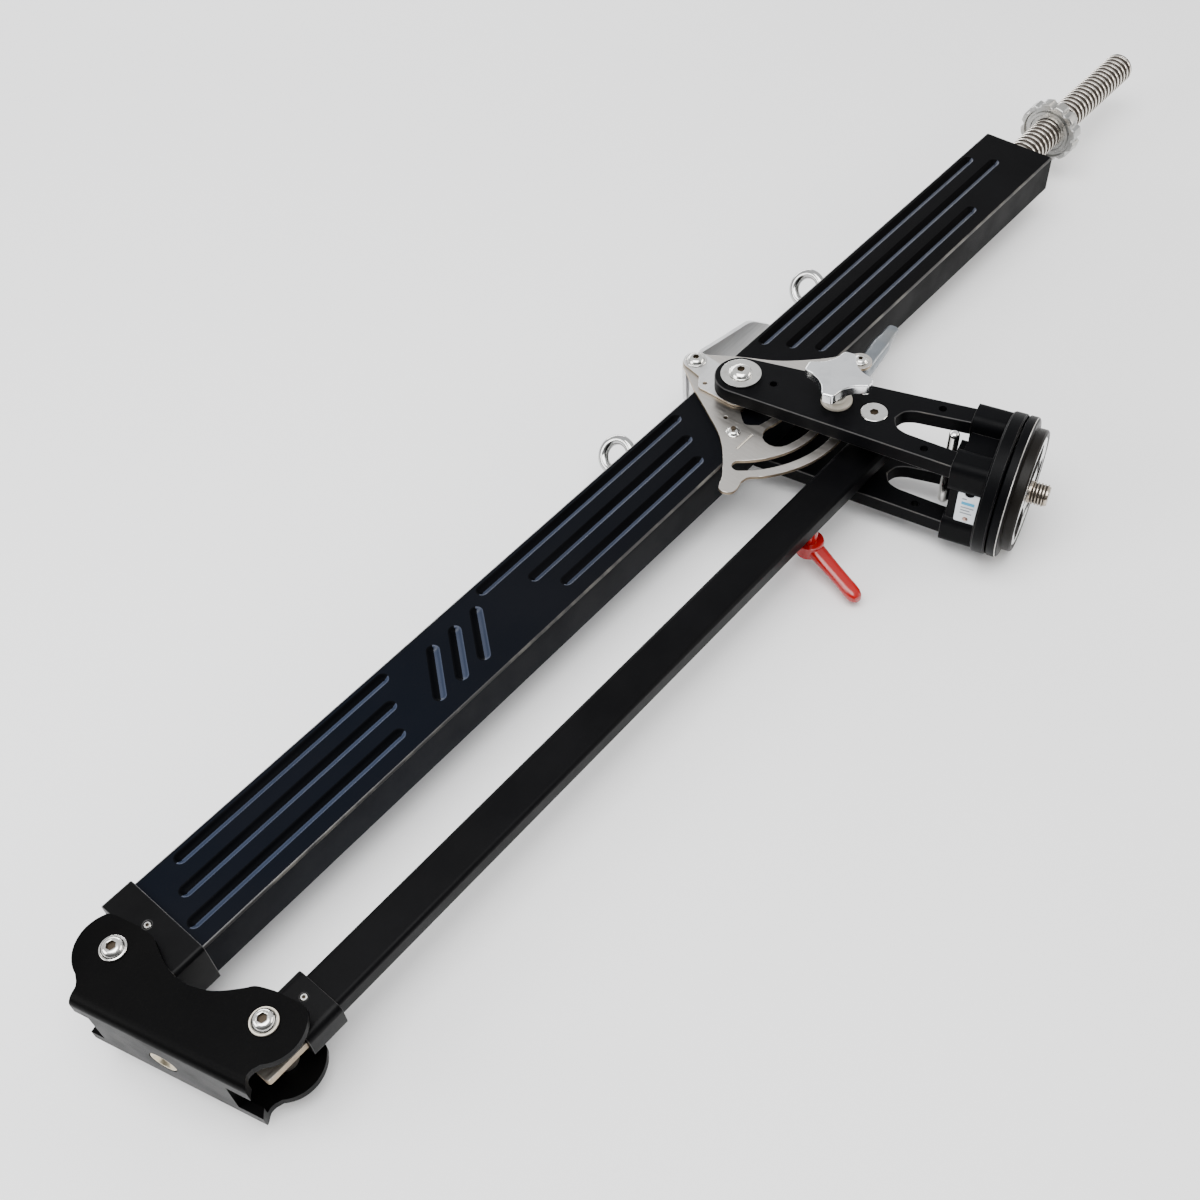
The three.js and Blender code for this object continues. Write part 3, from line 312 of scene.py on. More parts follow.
LABEL_CYAN = plain("label_cyan", (0.03, 0.36, 0.60), 0.35)

# ------------------------------------------------------------------ mesh building


def arc(x, y, radius, start, end, steps=16):
    """Points on an arc, degrees, both ends included."""
    points = []
    for i in range(steps + 1):
        angle = math.radians(start + (end - start) * i / steps)
        points.append((x + radius * math.cos(angle), y + radius * math.sin(angle)))
    return points


def circle(x, y, radius, steps=40):
    return arc(x, y, radius, 0, 360, steps)[:-1]


def smooth_line(points, steps=8):
    """A Catmull-Rom line through the points, both ends included."""
    padded = [points[0], *points, points[-1]]
    line = []
    for i in range(1, len(padded) - 2):
        a, b, c, d = (Vector(p) for p in padded[i - 1:i + 3])
        for k in range(steps):
            t = k / steps
            spot = 0.5 * (2 * b + (c - a) * t + (2 * a - 5 * b + 4 * c - d) * t ** 2
                          + (3 * b - a - 3 * c + d) * t ** 3)
            line.append(tuple(spot))
    line.append(tuple(points[-1]))
    return line


def rounded_box_loop(x0, y0, x1, y1, radius, steps=6):
    return [
        *arc(x1 - radius, y0 + radius, radius, -90, 0, steps),
        *arc(x1 - radius, y1 - radius, radius, 0, 90, steps),
        *arc(x0 + radius, y1 - radius, radius, 90, 180, steps),
        *arc(x0 + radius, y0 + radius, radius, 180, 270, steps),
    ]


def box_loop(half_x, half_y, radius, steps=6):
    """A rounded box round the origin."""
    return rounded_box_loop(-half_x, -half_y, half_x, half_y, radius, steps)


def slot_loop(x0, y0, x1, y1, width, steps=10):
    heading = math.degrees(math.atan2(y1 - y0, x1 - x0))
    return [
        *arc(x1, y1, width / 2, heading - 90, heading + 90, steps),
        *arc(x0, y0, width / 2, heading + 90, heading + 270, steps),
    ]


def arc_slot_loop(inner, outer, start, end, steps=40):
    middle = (inner + outer) / 2
    half = (outer - inner) / 2
    at = [(middle * math.cos(math.radians(a)), middle * math.sin(math.radians(a))) for a in (start, end)]
    return [
        *arc(0, 0, outer, start, end, steps),
        *arc(*at[1], half, end, end + 180, 8)[1:],
        *arc(0, 0, inner, end, start, steps)[1:],
        *arc(*at[0], half, start + 180, start + 360, 8)[1:-1],
    ]


def new_object(name, data):
    made = bpy.data.objects.new(name, data)
    bpy.context.scene.collection.objects.link(made)
    return made


def solid(name, shape):
    """Turns a finished bmesh into an object."""
    mesh = bpy.data.meshes.new(name)
    shape.to_mesh(mesh)
    shape.free()
    return new_object(name, mesh)


def stacked(name, layers):
    """Loops of the same length, each at its own height, joined into one closed solid."""
    shape = bmesh.new()
    rings = [[shape.verts.new((x, y, height)) for x, y in loop] for loop, height in layers]
    shape.faces.new(rings[0][::-1])
    shape.faces.new(rings[-1])
    count = len(rings[0])
    for lower, upper in zip(rings, rings[1:]):
        for i in range(count):
            j = (i + 1) % count
            shape.faces.new((lower[i], lower[j], upper[j], upper[i]))
    return cleaned(solid(name, shape))


def shrunk(loop, amount):
    """The loop drawn in towards its centre until its farthest point has moved by amount."""
    reach = max(math.hypot(x, y) for x, y in loop)
    return [(x * (1 - amount / reach), y * (1 - amount / reach)) for x, y in loop]


def soft_slab(name, loop, low, high, radius):
    """A slab around the origin with rounded upper and lower edges."""
    turns = (0, 0.4, 0.8, 1.2, math.pi / 2)
    edge = [(radius * (1 - math.sin(turn)), radius * (1 - math.cos(turn))) for turn in turns]
    lower = [(shrunk(loop, margin), low + rise) for margin, rise in edge]
    upper = [(shrunk(loop, margin), high - rise) for margin, rise in reversed(edge)]
    return stacked(name, [*lower, *upper])


def applied(made):
    """Turns an object's modifiers into its mesh."""
    view = bpy.context.evaluated_depsgraph_get()
    mesh = bpy.data.meshes.new_from_object(made.evaluated_get(view))
    made.modifiers.clear()
    old = made.data
    made.data = mesh
    bpy.data.meshes.remove(old)
    return made


def cleaned(made, distance=1e-4):
    """Joins points that fall together and turns every face outward."""
    shape = bmesh.new()
    shape.from_mesh(made.data)
    bmesh.ops.remove_doubles(shape, verts=shape.verts, dist=distance)
    bmesh.ops.dissolve_degenerate(shape, edges=shape.edges, dist=distance)
    bmesh.ops.recalc_face_normals(shape, faces=shape.faces)
    shape.to_mesh(made.data)
    shape.free()
    return made


def prism(name, loop, low, high):
    """A closed loop in the XY plane raised between two heights."""
    return stacked(name, [(loop, low), (loop, high)])


def holed_plate(name, loops, low, high, bevel=0.3, steps=1):
    """An outline with holes, with small rounded edges on both faces."""
    curve = bpy.data.curves.new(name, "CURVE")
    curve.dimensions = "2D"
    curve.fill_mode = "BOTH"
    for loop in loops:
        spline = curve.splines.new("POLY")
        spline.points.add(len(loop) - 1)
        for point, (x, y) in zip(spline.points, loop):
            point.co = (x, y, 0, 1)
        spline.use_cyclic_u = True
    curve.extrude = (high - low) / 2 - bevel
    curve.bevel_depth = bevel
    curve.bevel_resolution = steps
    curve.offset = -bevel
    drawn = new_object(name + "_curve", curve)
    view = bpy.context.evaluated_depsgraph_get()
    mesh = bpy.data.meshes.new_from_object(drawn.evaluated_get(view))
    bpy.data.objects.remove(drawn)
    bpy.data.curves.remove(curve)
    mesh.name = name
    mesh.materials.clear()
    mesh.transform(Matrix.Translation((0, 0, (low + high) / 2)))
    return cleaned(new_object(name, mesh))


TURNS = {
    "z": Matrix.Identity(4),
    "x": Matrix(((0, 0, 1, 0), (1, 0, 0, 0), (0, 1, 0, 0), (0, 0, 0, 1))),
    "y": Matrix(((0, 1, 0, 0), (0, 0, 1, 0), (1, 0, 0, 0), (0, 0, 0, 1))),
}


def along(made, axis):
    """Stands a piece drawn along Z on another axis."""
    made.data.transform(TURNS[axis])
    return made


def lathe(name, profile, axis="z", segments=48):
    """Turns [radius, height] points round the axis. The profile ends on the axis or closes on itself."""
    shape = bmesh.new()
    rings = []
    for radius, height in profile:
        if radius < 1e-6:
            rings.append([shape.verts.new((0, 0, height))])
            continue
        ring = []
        for i in range(segments):
            angle = 2 * math.pi * i / segments
            ring.append(shape.verts.new((radius * math.cos(angle), radius * math.sin(angle), height)))
        rings.append(ring)
    closed = len(rings[0]) > 1
    pairs = list(zip(rings, rings[1:]))
    if closed:
        pairs.append((rings[-1], rings[0]))
    for first, second in pairs:
        for i in range(segments):
            j = (i + 1) % segments
            if len(first) == 1 and len(second) == 1:
                continue
            if len(first) == 1:
                shape.faces.new((first[0], second[i], second[j]))
            elif len(second) == 1:
                shape.faces.new((first[i], first[j], second[0]))
            else:
                shape.faces.new((first[i], first[j], second[j], second[i]))
    bmesh.ops.recalc_face_normals(shape, faces=shape.faces)
    return along(solid(name, shape), axis)


def ring(name, outer, inner, low, high, axis="z", segments=48):
    return lathe(name, [(inner, low), (outer, low), (outer, high), (inner, high)], axis, segments)


def rod(name, radius, low, high, axis="z", segments=32):
    return lathe(name, [(0, low), (radius, low), (radius, high), (0, high)], axis, segments)


def soft_ring(name, outer, inner, low, high, material, width, segments=48):
    """A washer or spacer with rounded edges."""
    return round_edges(paint(ring(name, outer, inner, low, high, "z", segments), material), width, 2)


def moved(made, x=0.0, y=0.0, z=0.0):
    made.data.transform(Matrix.Translation((x, y, z)))
    return made


def spun(made, degrees, axis="Z"):
    made.data.transform(Matrix.Rotation(math.radians(degrees), 4, axis))
    return made


def boolean(made, tools, operation):
    for tool in tools:
        change = made.modifiers.new("cut", "BOOLEAN")
        change.object = tool
        change.operation = operation
        change.solver = "EXACT"
        change.material_mode = "TRANSFER"
        applied(made)
        bpy.data.objects.remove(tool)
    return made


def minus(made, *tools):
    return boolean(made, tools, "DIFFERENCE")


def plus(made, *others):
    return boolean(made, others, "UNION")


def shared(made, other):
    return boolean(made, [other], "INTERSECT")


def gathered(name, parts):
    """Joins separate, non-touching meshes into one object."""
    shape = bmesh.new()
    for item in parts:
        shape.from_mesh(item.data)
        bpy.data.objects.remove(item)
    return solid(name, shape)


def round_edges(made, width, segments=2, angle=32.0, material=-1):
    change = made.modifiers.new("edges", "BEVEL")
    change.width = width
    change.segments = segments
    change.limit_method = "ANGLE"
    change.angle_limit = math.radians(angle)
    change.material = material
    change.use_clamp_overlap = True
    return applied(made)


def paint(made, *materials):
    """Sets the material list and keeps each face's own number in it."""
    last = len(materials) - 1
    numbers = [min(face.material_index, last) for face in made.data.polygons]
    made.data.materials.clear()
    for item in materials:
        made.data.materials.append(item)
    made.data.polygons.foreach_set("material_index", numbers)
    return made


def smooth(made, angle=30.0, level=True):
    for face in made.data.polygons:
        face.use_smooth = True
    made.data.set_sharp_from_angle(angle=math.radians(angle))
    if level:
        made.modifiers.new("flat_faces", "WEIGHTED_NORMAL").keep_sharp = True
        applied(made)
    return made


def indexed(made, number):
    """Gives every face one material number."""
    for face in made.data.polygons:
        face.material_index = number
    return made


def place(made, body, node, slot, angle=30.0, level=True):
    """Sets a finished piece in the frame, on its body, in the stead of its CAD node."""
    made.data.transform(DRAWN_IN[body])
    smooth(made, angle, level)
    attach(made, body)
    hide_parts(node)


def edged(made, width, face_material, edge_material, segments=2, angle=32.0):
    """Rounded edges that carry their own material: more worn, and lighter as a painted highlight."""
    paint(made, face_material, edge_material)
    return round_edges(made, width, segments, angle, 1)


def hexagon(radius):
    return circle(0, 0, radius, 6)


def keyed(made, radius, floor, top):
    """Cuts a dark hexagon socket from its floor up past the head's top."""
    return minus(made, paint(prism("key", hexagon(radius), floor, top), SOCKET))


def button_head(name, flange=1.4, flange_radius=8.75, dome=6.7, height=3.0, shaft=4.0, length=22.0, key=2.9):
    """A round-headed screw seated at Z 0 with its head up and a hexagon socket."""
    dome_line = smooth_line([
        (dome + 0.5, flange), (dome, flange + 0.35 * height), (0.86 * dome, flange + 0.72 * height),
        (0.7 * dome, flange + 0.94 * height), (0.56 * dome, flange + height),
    ], 4)
    profile = [
        (0, -length), (shaft, -length), (shaft, 0), (flange_radius - 0.3, 0), (flange_radius, 0.3),
        (flange_radius, flange - 0.35), (flange_radius - 0.35, flange), *dome_line, (0, flange + height),
    ]
    head = paint(lathe(name, profile, segments=56), BOLT, SOCKET)
    return round_edges(keyed(head, key, flange + height - 2.3, flange + height + 2), 0.18, 2, 40)


def sheet_paint(made, face_material, edge_material):
    """Rolled faces and sawn edges of a plate that lies flat."""
    paint(made, face_material, edge_material)
    for face in made.data.polygons:
        face.material_index = 0 if abs(face.normal.z) > 0.6 else 1
    return made


def flipped(made):
    """The same piece turned over about X, for the far side."""
    return spun(made, 180, "X")


def mirrored(loop, middle):
    """The loop's points reflected about the line X = middle, in reverse order."""
    return [(2 * middle - x, y) for x, y in reversed(loop)]


def thread(name, radius, depth, pitch, start, end, segments=48):
    """A trapezoid thread cut round the Z axis, as one helical grid."""
    rows = [(0.03, 0), (0.33, 0), (0.37, 0.12), (0.47, 0.9), (0.5, 1), (0.83, 1), (0.86, 0.9), (0.98, 0.12)]
    turns = int((end - start) / pitch) + 2
    shape = bmesh.new()
    grid = []
    for turn in range(turns):
        for phase, share in rows:
            line = []
            for i in range(segments):
                angle = 2 * math.pi * i / segments
                height = start + pitch * (turn - 1 + phase + i / segments)
                height = min(max(height, start), end)
                reach = radius - depth * share
                line.append(shape.verts.new((reach * math.cos(angle), reach * math.sin(angle), height)))
            grid.append(line)
    step = len(rows)
    for r in range(len(grid) - 1):
        for i in range(segments):
            if i < segments - 1:
                corners = (grid[r][i], grid[r][i + 1], grid[r + 1][i + 1], grid[r + 1][i])
            elif r + step + 1 < len(grid):
                corners = (grid[r][i], grid[r + step][0], grid[r + step + 1][0], grid[r + 1][i])
            else:
                continue
            face = shape.faces.new(corners)
            # the deep root faces take the second material, a painted shade
            face.material_index = 1 if rows[r % step][1] >= 0.9 else 0
    bmesh.ops.remove_doubles(shape, verts=shape.verts, dist=1e-4)
    return solid(name, shape)


def loft(name, sections, power):
    """Rounded sections (x, z, half height, half width) strung along X and closed at both ends."""
    around = 40
    layers = []
    for x, z, half_height, half_width in sections:
        loop = []
        for i in range(around):
            angle = 2 * math.pi * i / around
            across = math.copysign(abs(math.cos(angle)) ** (2 / power), math.cos(angle))
            up = math.copysign(abs(math.sin(angle)) ** (2 / power), math.sin(angle))
            loop.append((half_width * across, z + half_height * up))
        layers.append((loop, x))
    return along(stacked(name, layers), "x")


SIDES = {"upper": 1, "lower": -1}
PIVOT_BORE, EAR_BORE, KNOB_BORE, BOLT_BORE = 6.4, 4.3, 3.8, 3.4  # clearance radii round the screws

# ------------------------------------------------------------------ main arm
TUBE_HALF = (30.0, 15.0)
TUBE_WALL = 4.0
GROOVE_WIDTH = 7.6
GROOVE_ROWS = (22.2, 4.0, -14.2)
GROOVE_SETS = (
    ((-481, -492, -501), (-320, -331, -341.5)),
    ((-240.3, -211.7, -201.5), (-40.3, -51.3, -62.3)),
    ((53.6, 62.4, 72.1), (335, 344, 280)),
)
GROOVE_SECTION = (  # width and depth, from the floor out past the rim
    (0.6, 2.3), (2.2, 2.2), (3.6, 1.9), (4.9, 1.4), (6.0, 0.85), (6.9, 0.3), (7.6, 0.08),
    (8.6, 0.0), (9.6, -0.4),
)
LIT_FROM = 0.5  # how far from a groove's middle line its lit wall begins
SLANTED_X, SLANTED_HALF, SLANTED_ANGLE = (-300, -281, -262), 17, 0.9
FULCRUM_Z = (15.3, 17.8)
LINK_Z = (18.1, 19.6)
EYES = {"front": (-80, -45), "rear": (145, -50)}
EYE_Y, EYE_Z = 45.2, -5.5
CORNER = (7.6, 44.8)
LOBE_RADIUS = 8.2
PLATE_SCREW = (-32.7, -18.7)


def bar_along_x(name, loop, low, high):
    return along(prism(name, loop, low, high), "x")


def groove_spans():
    """The two end centres of every groove on one face."""
    inset = GROOVE_WIDTH / 2
    spans = []
    for starts, ends in GROOVE_SETS:
        for y, start, end in zip(GROOVE_ROWS, starts, ends):
            spans.append((start + inset, y, end - inset, y))
    dx = SLANTED_HALF * math.cos(SLANTED_ANGLE)
    dy = SLANTED_HALF * math.sin(SLANTED_ANGLE)
    for x in SLANTED_X:
        spans.append((x - dx, -dy, x + dx, dy))
    return spans


def groove_cutter(span, side):
    """A groove with a rounded floor and soft rims; the wall on its -Y side carries a painted highlight, the
    rest a painted shade.
    """
    cutter = stacked("groove", [
        (slot_loop(*span, width, 14), side * (TUBE_HALF[1] - depth)) for width, depth in GROOVE_SECTION])
    x0, y0, x1, y1 = span
    # faces on the -Y wall take the painted-highlight colour, all others the painted-shade colour
    for face in cutter.data.polygons:
        across = (x1 - x0) * (face.center.y - y0) - (y1 - y0) * (face.center.x - x0)
        face.material_index = 1 if across < -LIT_FROM * (x1 - x0) else 0
    return cutter


def hollow_bar(name, outer, inner, start, end):
    """A tube open at both ends; outer and inner are half width, half height and corner radius."""
    body = bar_along_x(name, box_loop(*outer), start, end)
    return minus(body, bar_along_x("hollow", box_loop(*inner), start - 1, end + 1))


def main_tube():
    half_y, half_z = TUBE_HALF
    inner = (half_y - TUBE_WALL, half_z - TUBE_WALL, 1)
    tube = hollow_bar("main_tube_body", (half_y, half_z, 2), inner, TUBE_FRONT, TUBE_REAR)
    edged(tube, 0.5, COAT, COAT_EDGE)
    # The long rounded corners take the lighter edge colour too, as a painted highlight along them.
    for face in tube.data.polygons:
        if min(abs(face.normal.y), abs(face.normal.z)) > 0.2:
            face.material_index = 1
    tools = []
    for side in SIDES.values():
        cutter = gathered("grooves", [groove_cutter(span, side) for span in groove_spans()])
        tools.append(paint(cutter, GROOVE_SHADE, GROOVE_LIT))
    tools.append(rod("pivot_hole", 8.8, -20, 20))
    tools.append(moved(rod("screw_hole", 2.4, -20, 20), *PLATE_SCREW))
    for x, _ in EYES.values():
        tools.append(moved(rod("eye_hole", 4.3, 25, 31, "y"), x, 0, EYE_Z))
    place(minus(tube, *tools), "main_arm", "main_tube", slot="black_powder_coat", angle=42)


def end_cap(name, body, node, size, middle_y, span, bore, bore_start, mouth, grub):
    """The black cap on a tube's front end: size is its half width, half height and corner radius."""
    half_y, half_z, corner = size
    start, end = span
    block = bar_along_x(name, box_loop(half_y, half_z, corner, 8), start, end)
    hollow = bar_along_x("bore", box_loop(*bore, 2), bore_start, end + 1)
    slit = rounded_box_loop(-mouth, -1.8, mouth, 4.3, 0.5)
    opening = bar_along_x("mouth", slit, start - 1, bore_start + 1)
    grub_hole = moved(rod("grub_hole", 2.5, bore[1] - 1, half_z + 2), *grub)
    cap = edged(minus(block, hollow, opening, grub_hole), 0.9, SLEEVE, SLEEVE_EDGE, 3)
    place(moved(cap, 0, middle_y), body, node, slot="black_steel")


def grub_screw(name, x, y, low, high, body, node):
    screw = lathe(name, [(0, low), (2.1, low), (2.1, high - 0.4), (1.8, high), (0, high)], segments=32)
    screw = moved(keyed(paint(screw, BOLT, SOCKET), 1.1, high - 1.2, high + 1), x, y)
    place(screw, body, node, slot="bright_fasteners")


def tongue(name, x, y, tail_half, shoulder, hole, body, node):
    """The flat bar between an arm's end and the bracket; a narrower tail steps in at the shoulder."""
    half, front, rear = 14, 17, 32
    outline = [
        *arc(x - front + 2, y + half - 2, 2, 90, 180, 5), *arc(x - front + 2, y - half + 2, 2, 180, 270, 5),
        (x + shoulder, y - half), (x + shoulder, y - tail_half), (x + rear, y - tail_half),
        (x + rear, y + tail_half), (x + shoulder, y + tail_half), (x + shoulder, y + half),
    ]
    if half == tail_half:
        outline = [p for p in outline if abs(p[0] - x - shoulder) > 1e-6]
    bar = holed_plate(name, [outline, circle(x, y, hole)], -1.5, 4, 0.4, 2)
    sheet_paint(bar, BAR_STEEL, SHEET_EDGE)
    place(bar, body, node, slot="brushed_stainless")


def main_arm_front():
    """Cap, grub screw and tongue at the main arm's front end."""
    front = -ARM_LENGTH
    grub = (front + 20.8, 2.3)
    end_cap(
        "front_cap", "main_arm", "front_sleeve", size=(31.8, 18, 3), middle_y=0,
        span=(front + 11.7, front + 31.8), bore=(30.3, 15.3), bore_start=TUBE_FRONT - 0.3,
        mouth=14.3, grub=grub)
    grub_screw("front_grub", *grub, 15.4, 18.1, "main_arm", "front_grub_screw")
    tongue("front_tongue_bar", front, 0, 14, 12, EAR_BORE, "main_arm", "front_tongue")


def fulcrum_loops():
    left_side = smooth_line([
        (-14.4, 29.7), (-28.4, 6), (-39.7, -11.9), (-52.5, -25), (-68.6, -36.8), (-75.1, -39.7)])
    left_lobe = smooth_line([
        (-75.1, -39.7), (-79.4, -42.4), (-80.2, -46.8), (-77, -51.3), (-71.5, -51.6), (-65.6, -50.2)], 5)
    left_foot = smooth_line([(-65.6, -50.2), (-60.2, -51.6), (-54.9, -57.5)], 5)
    lobe = arc(LEVER.x, LEVER.y, LOBE_RADIUS, -138, 74, 20)
    right_lobe = smooth_line([(61.4, -50.5), (66, -50.3), (71.8, -51.4)], 5)
    right_side = smooth_line([
        lobe[-1], (72.4, -31.2), (59.6, -19.2), (43.6, -0.2), (31.2, 22.8), (19.1, 42.9)])
    outline = [
        *left_side, *left_lobe[1:], *left_foot[1:], *arc(0, 0, 79.5, -133.7, -39.4, 60)[1:],
        *right_lobe[1:-1], *lobe, *right_side[1:-1], *arc(*CORNER, 9.5, 12, 149, 14),
    ]
    window = [
        *smooth_line([(-19.3, -16.3), (-21.2, -21), (-16.5, -28.2)], 5),
        *smooth_line([(-16.5, -28.2), (0, -31.6), (16.5, -28.2)], 6)[1:],
        *smooth_line([(16.5, -28.2), (21.2, -21), (19.3, -16.3), (12.9, -9.5)], 5)[1:],
        *smooth_line([(12.9, -9.5), (0, -11.5), (-12.9, -9.5)], 6)[1:],
    ]
    holes = [
        circle(0, 0, PIVOT_BORE), circle(*CORNER, BOLT_BORE, 24), circle(LEVER.x, LEVER.y, BOLT_BORE, 24),
        circle(*PLATE_SCREW, 2.4, 20), circle(-24.2, -5.8, 1.5, 16),
        arc_slot_loop(63.8, 73, -144, -36, 70), arc_slot_loop(37, 58, -111, -69, 36),
        slot_loop(-43, -30, -27.5, -30, 1.6, 6), window,
    ]
    return [outline, *holes]


def fulcrum_plate():
    plate = holed_plate("fulcrum_sheet", fulcrum_loops(), *FULCRUM_Z, 0.3, 2)
    low, high = FULCRUM_Z
    inlay = prism("slot_line", slot_loop(-43, -30, -27.5, -30, 1.2, 6), low + 0.1, high - 0.2)
    plate = gathered("fulcrum_steel", [sheet_paint(plate, SHEET, SHEET_EDGE), indexed(inlay, 2)])
    paint(plate, SHEET, SHEET_EDGE, WASHER)
    place(plate, "main_arm", "fulcrum_plate", slot="brushed_stainless")


def link_plate():
    outline = [
        *arc(0, 0, 13, 180, 360, 24), (15, 30), *arc(*CORNER, 9, -6, 178, 20),
        *smooth_line([(-4, 33), (-12.4, 27), (-13, 22)], 6),
    ]
    holes = [circle(0, 0, PIVOT_BORE), circle(*CORNER, BOLT_BORE, 24), circle(-7.3, 25.2, 1.6, 16)]
    plate = holed_plate("link_sheet", [outline, *holes], *LINK_Z, 0.3, 2)
    sheet_paint(plate, WEB_STEEL, SHEET_EDGE)
    place(plate, "main_arm", "link_plate", slot="brushed_stainless")


def saddle_web():
    """The folded skirt beside the tube, drawn as X against height, with its spacer."""
    half = 15.0
    crest = smooth_line([(19.5, 17.3), (46.2, 11.9), (70, 7.6), (77.5, 5.2), (84, 1)], 6)
    tip = smooth_line([(97, -9.5), (101.4, -13.4), (101, -17.3)], 6)
    loop = [(0, half), (19.5, half), *crest, *tip, (19.5, -17.3), (19.5, -half), (0, -half)]
    sheet = prism("saddle_sheet", loop, -51.2, -48.2)
    spun(sheet, 90, "X")
    spacer = moved(rod("spacer", 6.5, -half, half), *CORNER)
    hole = moved(rod("hole", BOLT_BORE, -half - 1, half + 1), *CORNER)
    made = minus(plus(sheet, spacer), hole)
    made = round_edges(paint(made, WEB_STEEL), 0.35, 2)
    place(made, "main_arm", "saddle_web", slot="brushed_stainless")


def through_bolt(name, x, y, seats, head, height, node, key=2.4):
    """A long screw with a low round head at both ends."""
    shank = 3
    low, high = seats
    ends = []
    for seat, over in ((high, False), (-low, True)):
        end = button_head(name + "_end", 0.8, head, 0.76 * head, height - 0.8, shank, 3, key)
        moved(end, 0, 0, seat)
        ends.append(flipped(end) if over else end)
    middle = rod(name, shank, low + 2, high - 2)
    made = moved(gathered(name, [*ends, middle]), x, y)
    paint(made, BOLT, SOCKET)
    place(made, "main_arm", node, slot="bright_fasteners")


def plate_screw():
    screw = moved(button_head("plate_screw_head", 0.5, 5, 4.1, 1.8, 2.1, 6, 1.6), *PLATE_SCREW, 18.1)
    place(screw, "main_arm", "plate_screw", slot="bright_fasteners")


def eye_bolts():
    for name, (x, tilt) in EYES.items():
        seat = 30.3 - EYE_Y
        loop = lathe(f"eye_{name}", circle(11, 0, 3.6, 28), segments=64)
        foot = lathe("foot", [
            (0, seat - 8), (3.8, seat - 8), (3.8, seat), (6.2, seat), (6.6, seat + 0.4), (6.6, seat + 2.2),
            (5.6, seat + 3.1), (3.9, seat + 3.2), (0, seat + 3.2),
        ], "y", 40)
        made = paint(round_edges(plus(loop, foot), 0.5, 3, 40), EYE)
        moved(spun(made, tilt, "Y"), x, EYE_Y, EYE_Z)
        place(made, "main_arm", f"eye_bolt_{name}", slot="bright_fasteners", angle=50)


def rear_plug():
    block = bar_along_x("tube_plug", box_loop(25.7, 10.7, 1), TUBE_REAR - 32, TUBE_REAR - 0.2)
    bore = rod("bore", 8.3, TUBE_REAR - 40, TUBE_REAR + 1, "x")
    made = edged(minus(block, bore), 0.6, SLEEVE, SLEEVE_EDGE)
    place(made, "main_arm", "rear_plug", slot="black_steel")


def counterweight_rod():
    start, end = TUBE_REAR + 0.3, ROD_END
    screw = paint(thread("rod_thread", 12.5, 1.5, 5.5, start + 1, end - 2.4), ROD, ROD_GROOVE_SHADE)
    tip = paint(lathe("tip", [
        (0, end - 3), (10.9, end - 3), (11.6, end - 2.2), (11.4, end - 1.2), (10.2, end), (0, end),
    ], segments=56), ROD)
    shank = paint(lathe("shank", [
        (0, start - 30), (8, start - 30), (8, start), (11.6, start), (11.6, start + 1.4), (0, start + 1.4),
    ], segments=40), ROD)
    made = along(gathered("rod_body", [screw, tip, shank]), "x")
    paint(made, ROD, ROD_GROOVE_SHADE)
    place(made, "main_arm", "counterweight_rod", slot="brushed_stainless", angle=40, level=False)


NUT_RADIUS, NUT_THICKNESS = 24.9, 11
SCALLOPS, SCALLOP_DEPTH = 12, 2.4


def nut_outline(steps=288):
    outline = []
    for i in range(steps):
        angle = 2 * math.pi * i / steps
        reach = NUT_RADIUS - SCALLOP_DEPTH * max(0.0, math.cos(SCALLOPS * angle)) ** 0.8
        outline.append((reach * math.cos(angle), reach * math.sin(angle)))
    return outline


def hand_nut():
    body = soft_slab("hand_nut_body", nut_outline(), NUT_FRONT, NUT_FRONT + NUT_THICKNESS, 1.3)
    hub = lathe("hub", [
        (0, NUT_FRONT + 9), (17, NUT_FRONT + 9), (17, NUT_REAR - 0.6), (16.4, NUT_REAR), (0, NUT_REAR),
    ], segments=64)
    dishes = []
    for low, high in ((NUT_FRONT - 1, NUT_FRONT + 1.8), (NUT_FRONT + 12, NUT_FRONT + 9.6)):
        dishes.append(lathe("dish", [(17.8, low), (18.4, high), (20.4, high), (21.6, low)], segments=64))
    made = minus(plus(body, hub), rod("bore", 15.8, NUT_FRONT - 1, NUT_REAR + 1, segments=64), *dishes)
    made = along(paint(made, ALLOY), "x")
    place(made, "hand_nut", "hand_nut", slot="light_alloy", angle=40)


# ------------------------------------------------------------------ lower arm
def lower_tube():
    y = LOWER.y
    start, end = FRONT_LOWER.x + 13, LOWER.x + 15
    tube = hollow_bar("lower_tube_body", (12.8, 7.2, 3, 8), (10.8, 5.2, 1.5), start, end)
    bush_hole = moved(rod("bush_hole", 8.3, -20, 20), LOWER.x)
    lever_hole = moved(rod("lever_hole", BOLT_BORE, -20, 0), RED.x, RED.y - y)
    tube = edged(minus(tube, bush_hole, lever_hole), 0.35, LOWER_COAT, COAT_EDGE)
    place(moved(tube, 0, y), "lower_arm", "lower_tube", slot="black_powder_coat")


def lower_arm_front():
    """Cap, grub screw and tongue at the lower arm's front end."""
    front = FRONT_LOWER.x
    grub_x, grub_y = front + 23.9, 2.4
    end_cap(
        "lower_cap", "lower_arm", "lower_sleeve", size=(17, 10.5, 5), middle_y=LOWER.y,
        span=(front + 9.5, front + 32.5), bore=(13.1, 7.5), bore_start=front + 12.7,
        mouth=10.6, grub=(grub_x, grub_y))
    grub_screw("lower_grub", grub_x, LOWER.y + grub_y, 7.6, 10.6, "lower_arm", "lower_grub_screw")
    tongue("lower_tongue_bar", front, LOWER.y, 10.3, 9.2, 4.6, "lower_arm", "lower_tongue")


# ------------------------------------------------------------------ levers
RED_HEADING = -104.0
ZINC_HEADING = math.degrees(math.atan2(5.5, 52.5))


